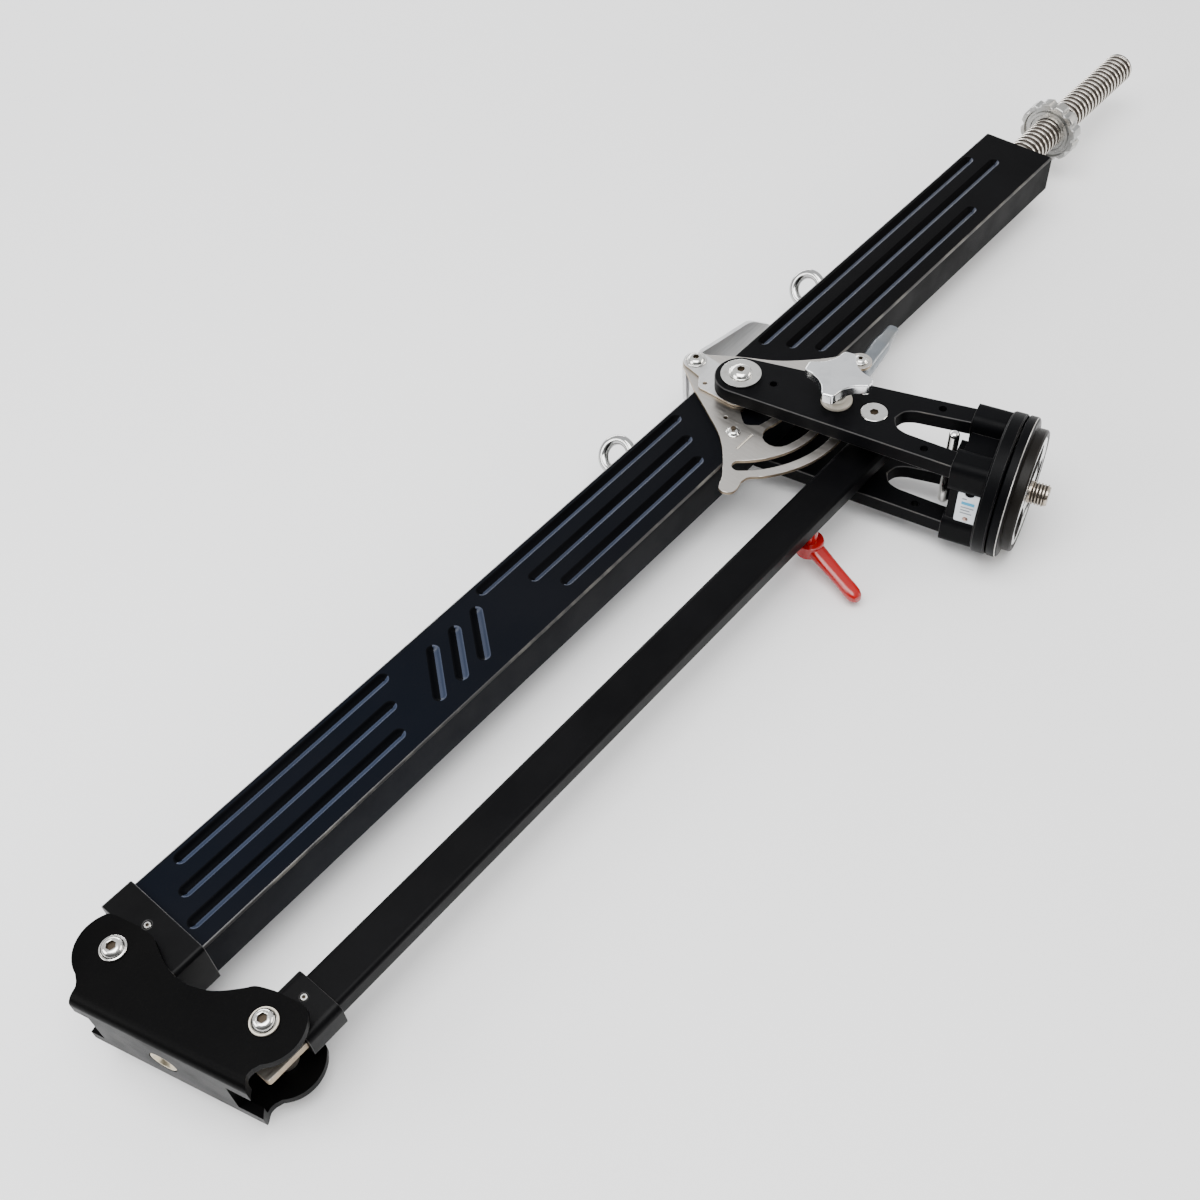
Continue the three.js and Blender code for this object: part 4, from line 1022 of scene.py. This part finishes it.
def red_lever():
    blade = loft("red_handle", [
        (-7, -24.6, 3.0, 3.5), (-4, -24.8, 4.2, 6.2), (8, -25.2, 4.1, 6.1), (24, -28.9, 3.8, 5.5),
        (34, -31.2, 3.7, 5.3), (41, -33.2, 4.2, 5.5), (45.5, -34.3, 4.2, 5.0), (48.2, -34.9, 3.4, 3.8),
        (49.5, -35.2, 2.0, 2.2),
    ], 2.6)
    hub = lathe("hub", [
        (0, -30), (8.8, -30), (9.5, -29.3), (9.5, -20.6), (9.1, -19.8), (8.2, -19.4), (5.4, -19.4),
        (5.0, -18.6), (5.0, -7.7), (0, -7.7),
    ], segments=56)
    bore = rod("bore", 3.3, -50, 0)
    pocket = rod("pocket", 6.2, -50, -27)
    made = minus(plus(blade, hub), bore, pocket)
    made = round_edges(paint(made, RED_COAT), 0.7, 3, 38)
    made = moved(spun(made, RED_HEADING), RED.x, RED.y)
    place(made, "red_lever", "red_lever", slot="red_paint", angle=45)


def zinc_lever():
    blade = loft("zinc_handle", [
        (-2, 3.0, 5.4, 5.6), (4, 3.4, 5.8, 6.4), (14, 4.6, 6.3, 6.4), (24, 5.9, 5.9, 6.6),
        (32, 7.2, 5.1, 6.7), (36.5, 8.0, 3.9, 5.9), (41, 8.8, 2.7, 5.0), (47, 9.4, 2.1, 4.7),
        (51, 9.7, 1.8, 4.3), (52.2, 9.8, 1.5, 3.2), (52.7, 9.8, 0.9, 1.8),
    ], 2.8)
    hub = lathe("hub", [
        (0, -4), (6.9, -4), (7.6, -3.3), (7.6, 13.2), (6.9, 14), (5.6, 14.1), (5.6, 15), (0, 15),
    ], segments=56)
    made = minus(plus(blade, hub), rod("bore", BOLT_BORE, -20, 20))
    made = round_edges(paint(made, ZINC), 0.6, 3, 38)
    made = moved(spun(made, ZINC_HEADING), LEVER.x, LEVER.y)
    place(made, "zinc_lever", "zinc_lever", slot="zinc", angle=45)


# ------------------------------------------------------------------ front bracket
BRACKET_HALF, BRACKET_BACK, BRACKET_WALL = 26.2, -33.0, 5.0
EAR_RADIUS = 21.6
NOTCHES = ((-14.5, 4.5), (90.2, SPACING + 20))


def bracket_outline():
    far = SPACING
    left_neck = smooth_line([(-4.5, -33), (-4.8, -26), (-6.4, -22.6), (-9.8, -19.2)], 6)
    left_ear = arc(0, 0, EAR_RADIUS, 243, 146, 28)
    shoulder = smooth_line([left_ear[-1], (-15.4, 15.0), (-11, 16)], 6)
    scoop = smooth_line([(4.5, 16), (14.6, 14.2), (20, 10.6), (28.7, 5.1), (37, 1.6), (far / 2, 0)], 7)
    right_ear = arc(far, 0, EAR_RADIUS, 34, -61, 28)
    right_neck = smooth_line([(102.8, -22.4), (102, -26), (103.6, -30), (105.5, -33)], 6)
    return [
        *left_neck, *left_ear[1:], *shoulder[1:], *scoop, *mirrored(scoop, far / 2)[1:],
        *mirrored(shoulder, far / 2)[:-1], *right_ear, *right_neck,
    ]


def front_bracket():
    """A folded channel: its side view cut from a block, hollowed from the open side."""
    half, back = BRACKET_HALF, BRACKET_BACK
    inner_half, inner_back = half - BRACKET_WALL, back + BRACKET_WALL
    blank = prism("bracket_body", bracket_outline(), -half, half)
    outer = bar_along_x("outer", rounded_box_loop(back, -half, 60, half, 6, 8), -40, SPACING + 40)
    inner = bar_along_x(
        "inner", rounded_box_loop(inner_back, -inner_half, 70, inner_half, 2, 6), -45, SPACING + 45)
    tools = [inner, moved(rod("insert_hole", 8.55, -34, -27, "y"), SPACING / 2)]
    for x in (0, SPACING):
        tools.append(moved(rod("screw_hole", EAR_BORE, -30, 30), x))
    for start, end in NOTCHES:
        tools.append(bar_along_x("notch", rounded_box_loop(-36, -13, -26, 13, 2.5), start, end))
    made = minus(shared(blank, outer), *tools)
    made = edged(made, 0.8, BLACK, BLACK_EDGE, 3)
    place(made, "front_bracket", "front_bracket", slot="black_steel")


def thread_insert():
    body = lathe("insert_boss", [
        (6.4, -32.8), (7.7, -32.9), (8.25, -32.4), (8.25, -27.7), (10.2, -27.7), (10.5, -27.4),
        (10.5, -25.0), (10.2, -24.7), (5.3, -24.7), (4.75, -25.2), (4.75, -31.1),
    ], "y", 56)
    place(moved(paint(body, BRASS), SPACING / 2), "front_bracket", "camera_thread_insert", slot="brass")


def ear_screw(name, washed):
    """A pivot screw seated at Z 0; the lower pivot's has a loose pale washer under its head."""
    if not washed:
        return button_head(name, 1.2, 7.5, 6.0, length=24.0)
    head = moved(button_head(name, 0.8, 6.7, 5.9, length=24.0), 0, 0, 1.4)
    washer = indexed(soft_ring("washer", 7.7, 4.1, 0, 1.3, WASHER, 0.3), 2)
    made = gathered(name, [head, washer])
    return paint(made, BOLT, SOCKET, WASHER)


def ear_screws_and_spacers():
    innermost = {"lower": (-20.9, -1.8), "upper": (4.3, 20.9)}
    for pivot, x, washed, outer in (("front_pivot", 0, False, 9), ("front_lower_pivot", SPACING, True, 7.5)):
        for name, side in SIDES.items():
            screw = moved(ear_screw(f"{pivot}_head_{name}", washed), 0, 0, BRACKET_HALF + 0.3)
            if side < 0:
                flipped(screw)
            place(moved(screw, x), "front_bracket", f"{pivot}_screw_{name}", slot="bright_fasteners")
            spacer = soft_ring(f"{pivot}_sleeve_{name}", outer, EAR_BORE, *innermost[name], BAR_STEEL, 0.5)
            place(moved(spacer, x), "front_bracket", f"{pivot}_spacer_{name}", slot="brushed_stainless")


# ------------------------------------------------------------------ yoke
YOKE_INNER, YOKE_OUTER, YOKE_END = 20.6, 31.3, 156.0
WINDOW_APEX, WINDOW_NECK = 109.0, 119.0
ARM_HALF_AT_PIVOT, ARM_FLARE = 18.0, 0.07
BASE_START, BASE_END, BASE_RADIUS = 179.0, 188.6, 47.6
LUG_Y, LUG_Z, LUG_CORNER = (12.5, 33.0), (12.2, 36.0), 6.5
CHEEK_HOLES = ((23.7, 0, 2.7), (135, 20, 2.7), (135, -20, 2.7), (SPACING, 0, 5.4))  # along, across, radius


def arm_half(s):
    """Half the arm's width at a distance from the pivot."""
    return ARM_HALF_AT_PIVOT + ARM_FLARE * s


def yoke_outline():
    window = smooth_line([
        (YOKE_END, -14.5), (140, -13.0), (127, -11.7), (WINDOW_NECK, -10.6), (112.6, -7.2),
        (WINDOW_APEX, 0)], 8)
    return [
        *arc(0, 0, ARM_HALF_AT_PIVOT, 90, 270, 36), (YOKE_END, -arm_half(YOKE_END)), *window,
        *[(s, -y) for s, y in window[::-1][1:]], (YOKE_END, arm_half(YOKE_END)),
    ]


def yoke_arms():
    for name, side in SIDES.items():
        arm = prism(f"yoke_cheek_{name}", yoke_outline(), YOKE_INNER, YOKE_OUTER)
        arm = edged(arm, 2.2, YOKE_COAT, YOKE_EDGE, 5)
        tools = [rod("pivot_hole", PIVOT_BORE, 0, 40)]
        for s, across, radius in CHEEK_HOLES:
            tools.append(moved(rod("hole", radius, 0, 40), s, across))
        tools.append(moved(rod("seat", 9.4, YOKE_OUTER - 2.6, 40, segments=48), SPACING))
        if side > 0:
            tools.append(moved(rod("knob_hole", KNOB_BORE, 0, 40), KNOB_S))
        arm = round_edges(minus(arm, *tools), 0.5, 2, 60, 1)
        if side < 0:
            flipped(arm)
        place(arm, "yoke", f"yoke_arm_{name}", slot="black_powder_coat")


def yoke_base():
    """The round base, its four corner lugs and the block between them."""
    start, radius = YOKE_END + 0.3, BASE_RADIUS
    disc = lathe("yoke_base_body", [
        (0, BASE_START), (radius - 1.8, BASE_START), (radius - 0.7, BASE_START + 0.4),
        (radius, BASE_START + 1.4), (radius, BASE_END - 1), (radius - 0.7, BASE_END), (0, BASE_END),
    ], "x", 96)
    parts = [
        bar_along_x("block", box_loop(29.7, 25, 3, 5), start + 1.5, BASE_START + 1),
        bar_along_x("pin_seat", box_loop(10, 20, 2, 4), 152.9, start + 5),
    ]
    for across in (1, -1):
        for up in (1, -1):
            y0, y1 = sorted(across * y for y in LUG_Y)
            z0, z1 = sorted(up * z for z in LUG_Z)
            loop = rounded_box_loop(y0, z0, y1, z1, LUG_CORNER)
            parts.append(bar_along_x("lug", loop, start, BASE_START + 1))
    made = plus(disc, *parts)
    made = cleaned(minus(made, rod("bore", 16.3, 163, 190, "x")), 0.02)
    made = edged(made, 1.1, YOKE_COAT, YOKE_EDGE, 3)
    place(made, "yoke", "yoke_base", slot="black_powder_coat")


def main_pivot():
    head = YOKE_OUTER + 2.2
    profile = [
        (0, -head - 3.2), (8.0, -head - 3.2), (8.6, -head - 2.6), (8.6, -head), (6, -head), (6, head),
        (7.8, head), (8.2, head + 0.4), *arc(3.2, head - 1.6, 5.0, 25, 90, 10), (0, head + 3.4),
    ]
    bolt = paint(lathe("main_pivot_screw", profile, segments=64), BOLT, SOCKET)
    bolt = keyed(bolt, 2.9, head + 1, head + 6)
    place(round_edges(bolt, 0.15, 2, 40), "yoke", "main_pivot_bolt", slot="bright_fasteners")
    spacer = soft_ring("main_spacer", 12, PIVOT_BORE, 19.9 - YOKE_RISE, YOKE_INNER - 0.3, SLEEVE, 0.4, 64)
    place(spacer, "yoke", "main_pivot_spacer", slot="black_steel")
    for name, side in SIDES.items():
        low, high = sorted((side * (YOKE_OUTER + 0.3), side * (YOKE_OUTER + 1.9)))
        washer = soft_ring(f"main_washer_{name}", 14, PIVOT_BORE, low, high, BOLT, 0.4, 64)
        place(washer, "yoke", f"main_pivot_washer_{name}", slot="brushed_stainless")


def lower_pivot_screws():
    top = YOKE_OUTER + 0.1
    profile = [
        (0, 24), (2.6, 24), (2.6, top - 2.3), (8.6, top - 2.3), (9, top - 1.9), (9, top - 0.35),
        (8.65, top), (0, top),
    ]
    for name, side in SIDES.items():
        screw = paint(lathe(f"flush_screw_{name}", profile, segments=64), BOLT, SOCKET)
        screw = round_edges(keyed(screw, 3.1, top - 1.9, top + 2), 0.2, 2, 40)
        if side < 0:
            flipped(screw)
        place(moved(screw, SPACING), "yoke", f"lower_pivot_screw_{name}", slot="bright_fasteners")


STAR_TIP, STAR_POINT_HALF, STAR_WAIST, STAR_CORNER = 22.4, 4.2, 7.1, 1.8
GRIP_LOW, GRIP_HIGH, STEM_RADIUS = 48.1, 56.1, 6.5


def star_outline():
    """Four rounded points joined by scooped sides."""
    tip, half, waist, corner = STAR_TIP, STAR_POINT_HALF, STAR_WAIST, STAR_CORNER
    ends = [
        *arc(tip - corner, corner - half, corner, -80, 0, 5),
        *arc(tip - corner, half - corner, corner, 0, 80, 5),
    ]
    points = []
    for i in range(4):
        turn = Matrix.Rotation(math.pi / 2 * i, 2)
        before = [Vector((half, -tip)), Vector((waist, -waist)), Vector((tip, -half))]
        for k in range(1, 14):
            t = k / 14
            spot = before[0] * (1 - t) ** 2 + before[1] * 2 * t * (1 - t) + before[2] * t ** 2
            points.append(tuple(turn @ spot))
        points.extend(tuple(turn @ Vector(spot)) for spot in ends)
    return points


def star_knob():
    star = soft_slab("star_grip", star_outline(), GRIP_LOW, GRIP_HIGH, 1.3)
    foot = YOKE_OUTER + 2.9
    profile = [
        (0, foot), (STEM_RADIUS - 0.4, foot), (STEM_RADIUS, foot + 0.4), (STEM_RADIUS, GRIP_LOW + 0.9),
        (0, GRIP_LOW + 0.9),
    ]
    made = minus(plus(star, lathe("stem", profile)), rod("bore", KNOB_BORE, 0, GRIP_HIGH - 3))
    place(moved(paint(made, KNOB), KNOB_S), "star_knob", "star_knob", slot="polished_knob", angle=35)


def star_knob_washer():
    washer = soft_ring("knob_washer", 10.5, KNOB_BORE, YOKE_OUTER + 0.3, YOKE_OUTER + 2.6, WASHER, 0.5, 56)
    place(moved(washer, KNOB_S), "yoke", "star_knob_washer", slot="bright_fasteners")


def clamp_screw():
    low, high = -31, 33.3
    profile = [(0, low), *arc(0.6, low + 3, 3.0, -90, 0, 8), *arc(0.6, high - 3, 3.0, 0, 90, 8), (0, high)]
    screw = paint(lathe("clamp_pin", profile, segments=40), BOLT)
    place(moved(screw, 149), "yoke", "yoke_clamp_screw", slot="bright_fasteners")


LABEL_START, LABEL_LENGTH, LABEL_Y = 163.5, 15.0, -30.4
RIVET_PLACE = (LABEL_START + LABEL_LENGTH / 2, 0, -9.7)


def label_marks():
    """Plain grey bars and one plain cyan bar, standing in for printing."""
    marks = []
    s = LABEL_START + 3.2
    for z, length, number in ((8.2, 3.2, 1), (4.4, 8.6, 2), (0.6, 8.6, 1), (-2.0, 6.4, 1), (-4.6, 7.8, 1)):
        tall = 2.6 if number == 2 else 1.0
        loop = rounded_box_loop(z - tall / 2, s, z + tall / 2, s + length, 0.4, 4)
        marks.append(indexed(along(prism("mark", loop, LABEL_Y - 0.42, LABEL_Y), "y"), number))
    return marks


def label_plate():
    y = LABEL_Y
    outline = rounded_box_loop(-13.2, LABEL_START, 13.2, LABEL_START + LABEL_LENGTH, 1.2)
    sheet = along(prism("label_foil_plate", outline, y - 0.35, y + 0.35), "y")
    notch = moved(rod("notch", 3.0, y - 2, y + 2, "y"), RIVET_PLACE[0], 0, 13.2)
    hole = moved(rod("hole", 1.7, y - 2, y + 2, "y"), *RIVET_PLACE)
    sheet = round_edges(minus(sheet, notch, hole), 0.12, 1)
    sheet = gathered("label_sheet", [indexed(sheet, 0), *label_marks()])
    place(paint(sheet, LABEL, LABEL_GREY, LABEL_CYAN), "yoke", "label_plate", slot="label")


def label_rivet():
    rivet = lathe("rivet_head", [(0, -31.7), (0.8, -31.7), (1.5, -31.2), (1.5, -30.0), (0, -30.0)], "y", 28)
    place(moved(paint(rivet, COPPER), *RIVET_PLACE), "yoke", "label_rivet", slot="bright_fasteners")


# ------------------------------------------------------------------ tripod adapter
BEVEL_BAND, RIM_START = (195.3, 195.6), 196.6
SPOKE_START, SPOKE_END = 199.4, 203.7
SPOKE_POCKETS = ((0, 9, 22.5, 18), (60, 2.2, 17.5, 7))  # turn, half length, distance out, width


def adapter_ring():
    """A stepped ring with a worn bevel that is also lighter as a painted highlight, and a browner rim."""
    ring_body = lathe("adapter_body", [
        (20.3, 189.7), (46.9, 189.7), (47.5, 190.3), (47.5, 195.2), (47.1, 195.7), (45.9, 196.5),
        (42.6, 196.9), (41.2, 197.6), (41.2, 202.9), (40.2, 204), (38.4, 204), (37.1, 203.3),
        (37.1, 199.1), (20.3, 199.1),
    ], "x", 112)
    paint(ring_body, YOKE_COAT, WORN_HIGHLIT_METAL, RING_COAT)
    for face in ring_body.data.polygons:
        s = face.center.x
        # the bevel band takes the worn edge colour, which also carries a painted highlight
        if BEVEL_BAND[0] < s < BEVEL_BAND[1]:
            face.material_index = 1
        elif s >= RIM_START:
            face.material_index = 2
    place(ring_body, "adapter", "adapter_ring", slot="black_powder_coat")


def spoke_plate():
    disc = paint(lathe("spoke_face", [
        (5.3, SPOKE_START), (36.4, SPOKE_START), (36.8, SPOKE_START + 0.4), (36.8, SPOKE_END - 0.6),
        (36.2, SPOKE_END), (5.3, SPOKE_END),
    ], "x", 96), SPOKES, DARK_HOLLOW)
    pockets = []
    for i in range(3):
        for turn, half, centre, width in SPOKE_POCKETS:
            loop = slot_loop(-half, centre, half, centre, width)
            pocket = paint(bar_along_x("pocket", loop, SPOKE_START + 1.1, 205), DARK_HOLLOW)
            pockets.append(spun(indexed(pocket, 0), 120 * i + turn, "X"))
    disc = round_edges(minus(disc, *pockets), 0.45, 2, 50)
    place(disc, "adapter", "spoke_plate", slot="light_alloy")


def tripod_stud():
    screw = paint(thread("stud_thread", 7.5, 0.9, 2.1, 205.2, 214.6, 40), STUD, ROD_GROOVE_SHADE)
    tip = paint(lathe("tip", [
        (0, 213.6), (6.5, 213.6), (6.8, 214.6), (6.2, 216), (0, 216)], segments=48), STUD)
    foot = paint(lathe("foot", [
        (0, 192.5), (5, 192.5), (5, 203.8), (7.5, 203.8), (7.5, 204.6), (6.8, 205.4), (0, 205.4),
    ], segments=48), STUD)
    made = along(gathered("stud_body", [screw, tip, foot]), "x")
    paint(made, STUD, ROD_GROOVE_SHADE)
    place(made, "adapter", "tripod_stud", slot="brushed_stainless", angle=40, level=False)


# ------------------------------------------------------------------ nodes that stay as they are
def hidden_nodes():
    """Pieces inside others keep their CAD shape and take a finished material."""
    finishes = {
        "main_pivot_bush": BRASS, "lower_pivot_bush": SLEEVE, "lower_pivot_shaft": BAR_STEEL,
        "star_knob_stud": BAR_STEEL, "slot_nut": BAR_STEEL, "red_lever_screw": BOLT,
        "hand_nut_thread": ALLOY, "pan_bearing": BAR_STEEL, "pan_axle": BAR_STEEL, "pan_axle_nut": BAR_STEEL,
    }
    for node, material in finishes.items():
        slots = frame["nodes"][node].data.materials
        for i in range(len(slots)):
            slots[i] = material


def build():
    main_tube()
    main_arm_front()
    fulcrum_plate()
    link_plate()
    saddle_web()
    seats = (-15.3, LINK_Z[1] + 0.3)
    through_bolt("corner_screw", *CORNER, seats, 7.6, 3.2, "corner_bolt")
    seats = (-4.3, FULCRUM_Z[1] + 0.3)
    through_bolt("lever_screw", LEVER.x, LEVER.y, seats, 5.5, 2.3, "lever_pivot_bolt", 1.8)
    plate_screw()
    eye_bolts()
    rear_plug()
    counterweight_rod()
    hand_nut()
    lower_tube()
    lower_arm_front()
    red_lever()
    zinc_lever()
    front_bracket()
    thread_insert()
    ear_screws_and_spacers()
    yoke_arms()
    yoke_base()
    main_pivot()
    lower_pivot_screws()
    star_knob()
    star_knob_washer()
    clamp_screw()
    label_plate()
    label_rivet()
    adapter_ring()
    spoke_plate()
    tripod_stud()
    hidden_nodes()


# ------------------------------------------------------------------ camera, light and floor
EYE_POINT = Vector((-0.6519, -0.2242, 0.6958))
LOOK = Vector((0.45187, 0.44315, -0.77423)).normalized()
ROLL = math.radians(4.98)
LENS, FILM_WIDTH = 43.037, 36.0
FLOOR_HALF = 6.0


def camera():
    data = bpy.data.cameras.new("camera")
    data.lens = LENS
    data.sensor_width = FILM_WIDTH
    data.clip_start = 0.01
    made = new_object("camera", data)
    level = LOOK.cross(Vector((0, 0, 1))).normalized()
    up = math.sin(ROLL) * level + math.cos(ROLL) * level.cross(LOOK)
    right = LOOK.cross(up)
    made.matrix_world = Matrix.Translation(EYE_POINT) @ Matrix((right, up, -LOOK)).transposed().to_4x4()
    bpy.context.scene.camera = made


def area_light(name, place_at, target, size, power, color=(1, 1, 1)):
    data = bpy.data.lights.new(name, "AREA")
    data.shape = "RECTANGLE"
    data.size, data.size_y = size
    data.energy = power
    data.color = color
    made = new_object(name, data)
    made.location = place_at
    made.rotation_mode = "QUATERNION"
    made.rotation_quaternion = (Vector(target) - Vector(place_at)).to_track_quat("-Z", "Y")


def sky(world, towards, low, high):
    """Brightness that rises smoothly from one side of the studio to the other."""
    nodes = world.node_tree.nodes
    links = world.node_tree.links
    place_in_sky = nodes.new("ShaderNodeTexCoord").outputs["Generated"]
    facing = nodes.new("ShaderNodeVectorMath")
    facing.operation = "DOT_PRODUCT"
    facing.inputs[1].default_value = Vector(towards).normalized()
    links.new(place_in_sky, facing.inputs[0])
    ramp = nodes.new("ShaderNodeMapRange")
    ramp.interpolation_type = "SMOOTHSTEP"
    ramp.inputs["From Min"].default_value = -0.5
    ramp.inputs["From Max"].default_value = 0.8
    ramp.inputs["To Min"].default_value = low
    ramp.inputs["To Max"].default_value = high
    links.new(facing.outputs["Value"], ramp.inputs["Value"])
    background = nodes["Background"]
    background.inputs["Color"].default_value = (0.97, 0.98, 1.0, 1)
    links.new(ramp.outputs["Result"], background.inputs["Strength"])


def studio():
    world = bpy.data.worlds.new("studio")
    world.use_nodes = True
    bpy.context.scene.world = world
    sky(world, (0.5, 0.5, 0.7), 0.1, 0.95)
    area_light("overhead", (-0.6, 0.0, 1.9), (-0.1, 0.2, 0), (1.8, 1.4), 62)
    area_light("window", (-1.6, 0.9, 0.9), (-0.1, 0.1, 0), (1.0, 0.8), 16)
    area_light("far_strip", (0.9, 1.9, 0.4), (-0.15, 0.15, 0), (2.0, 0.4), 24)
    area_light("fill", (1.2, -1.3, 0.75), (-0.1, 0.1, 0), (1.4, 0.5), 16, (1.0, 0.95, 0.88))


def floor():
    shape = bmesh.new()
    corners = ((-1, -1), (1, -1), (1, 1), (-1, 1))
    shape.faces.new([shape.verts.new((FLOOR_HALF * x, FLOOR_HALF * y, 0)) for x, y in corners])
    made = solid("floor", shape)
    made.location.z = CAD_BOUNDS[0].z
    look = Look("pale_floor", (0.95, 0.95, 0.95), 0.7)
    look.cloud((0.93, 0.93, 0.94), 2, 3, 0.4, 0.7, 0.3)
    paint(made, look.done())


build()
camera()
studio()
floor()
bpy.context.view_layer.update()
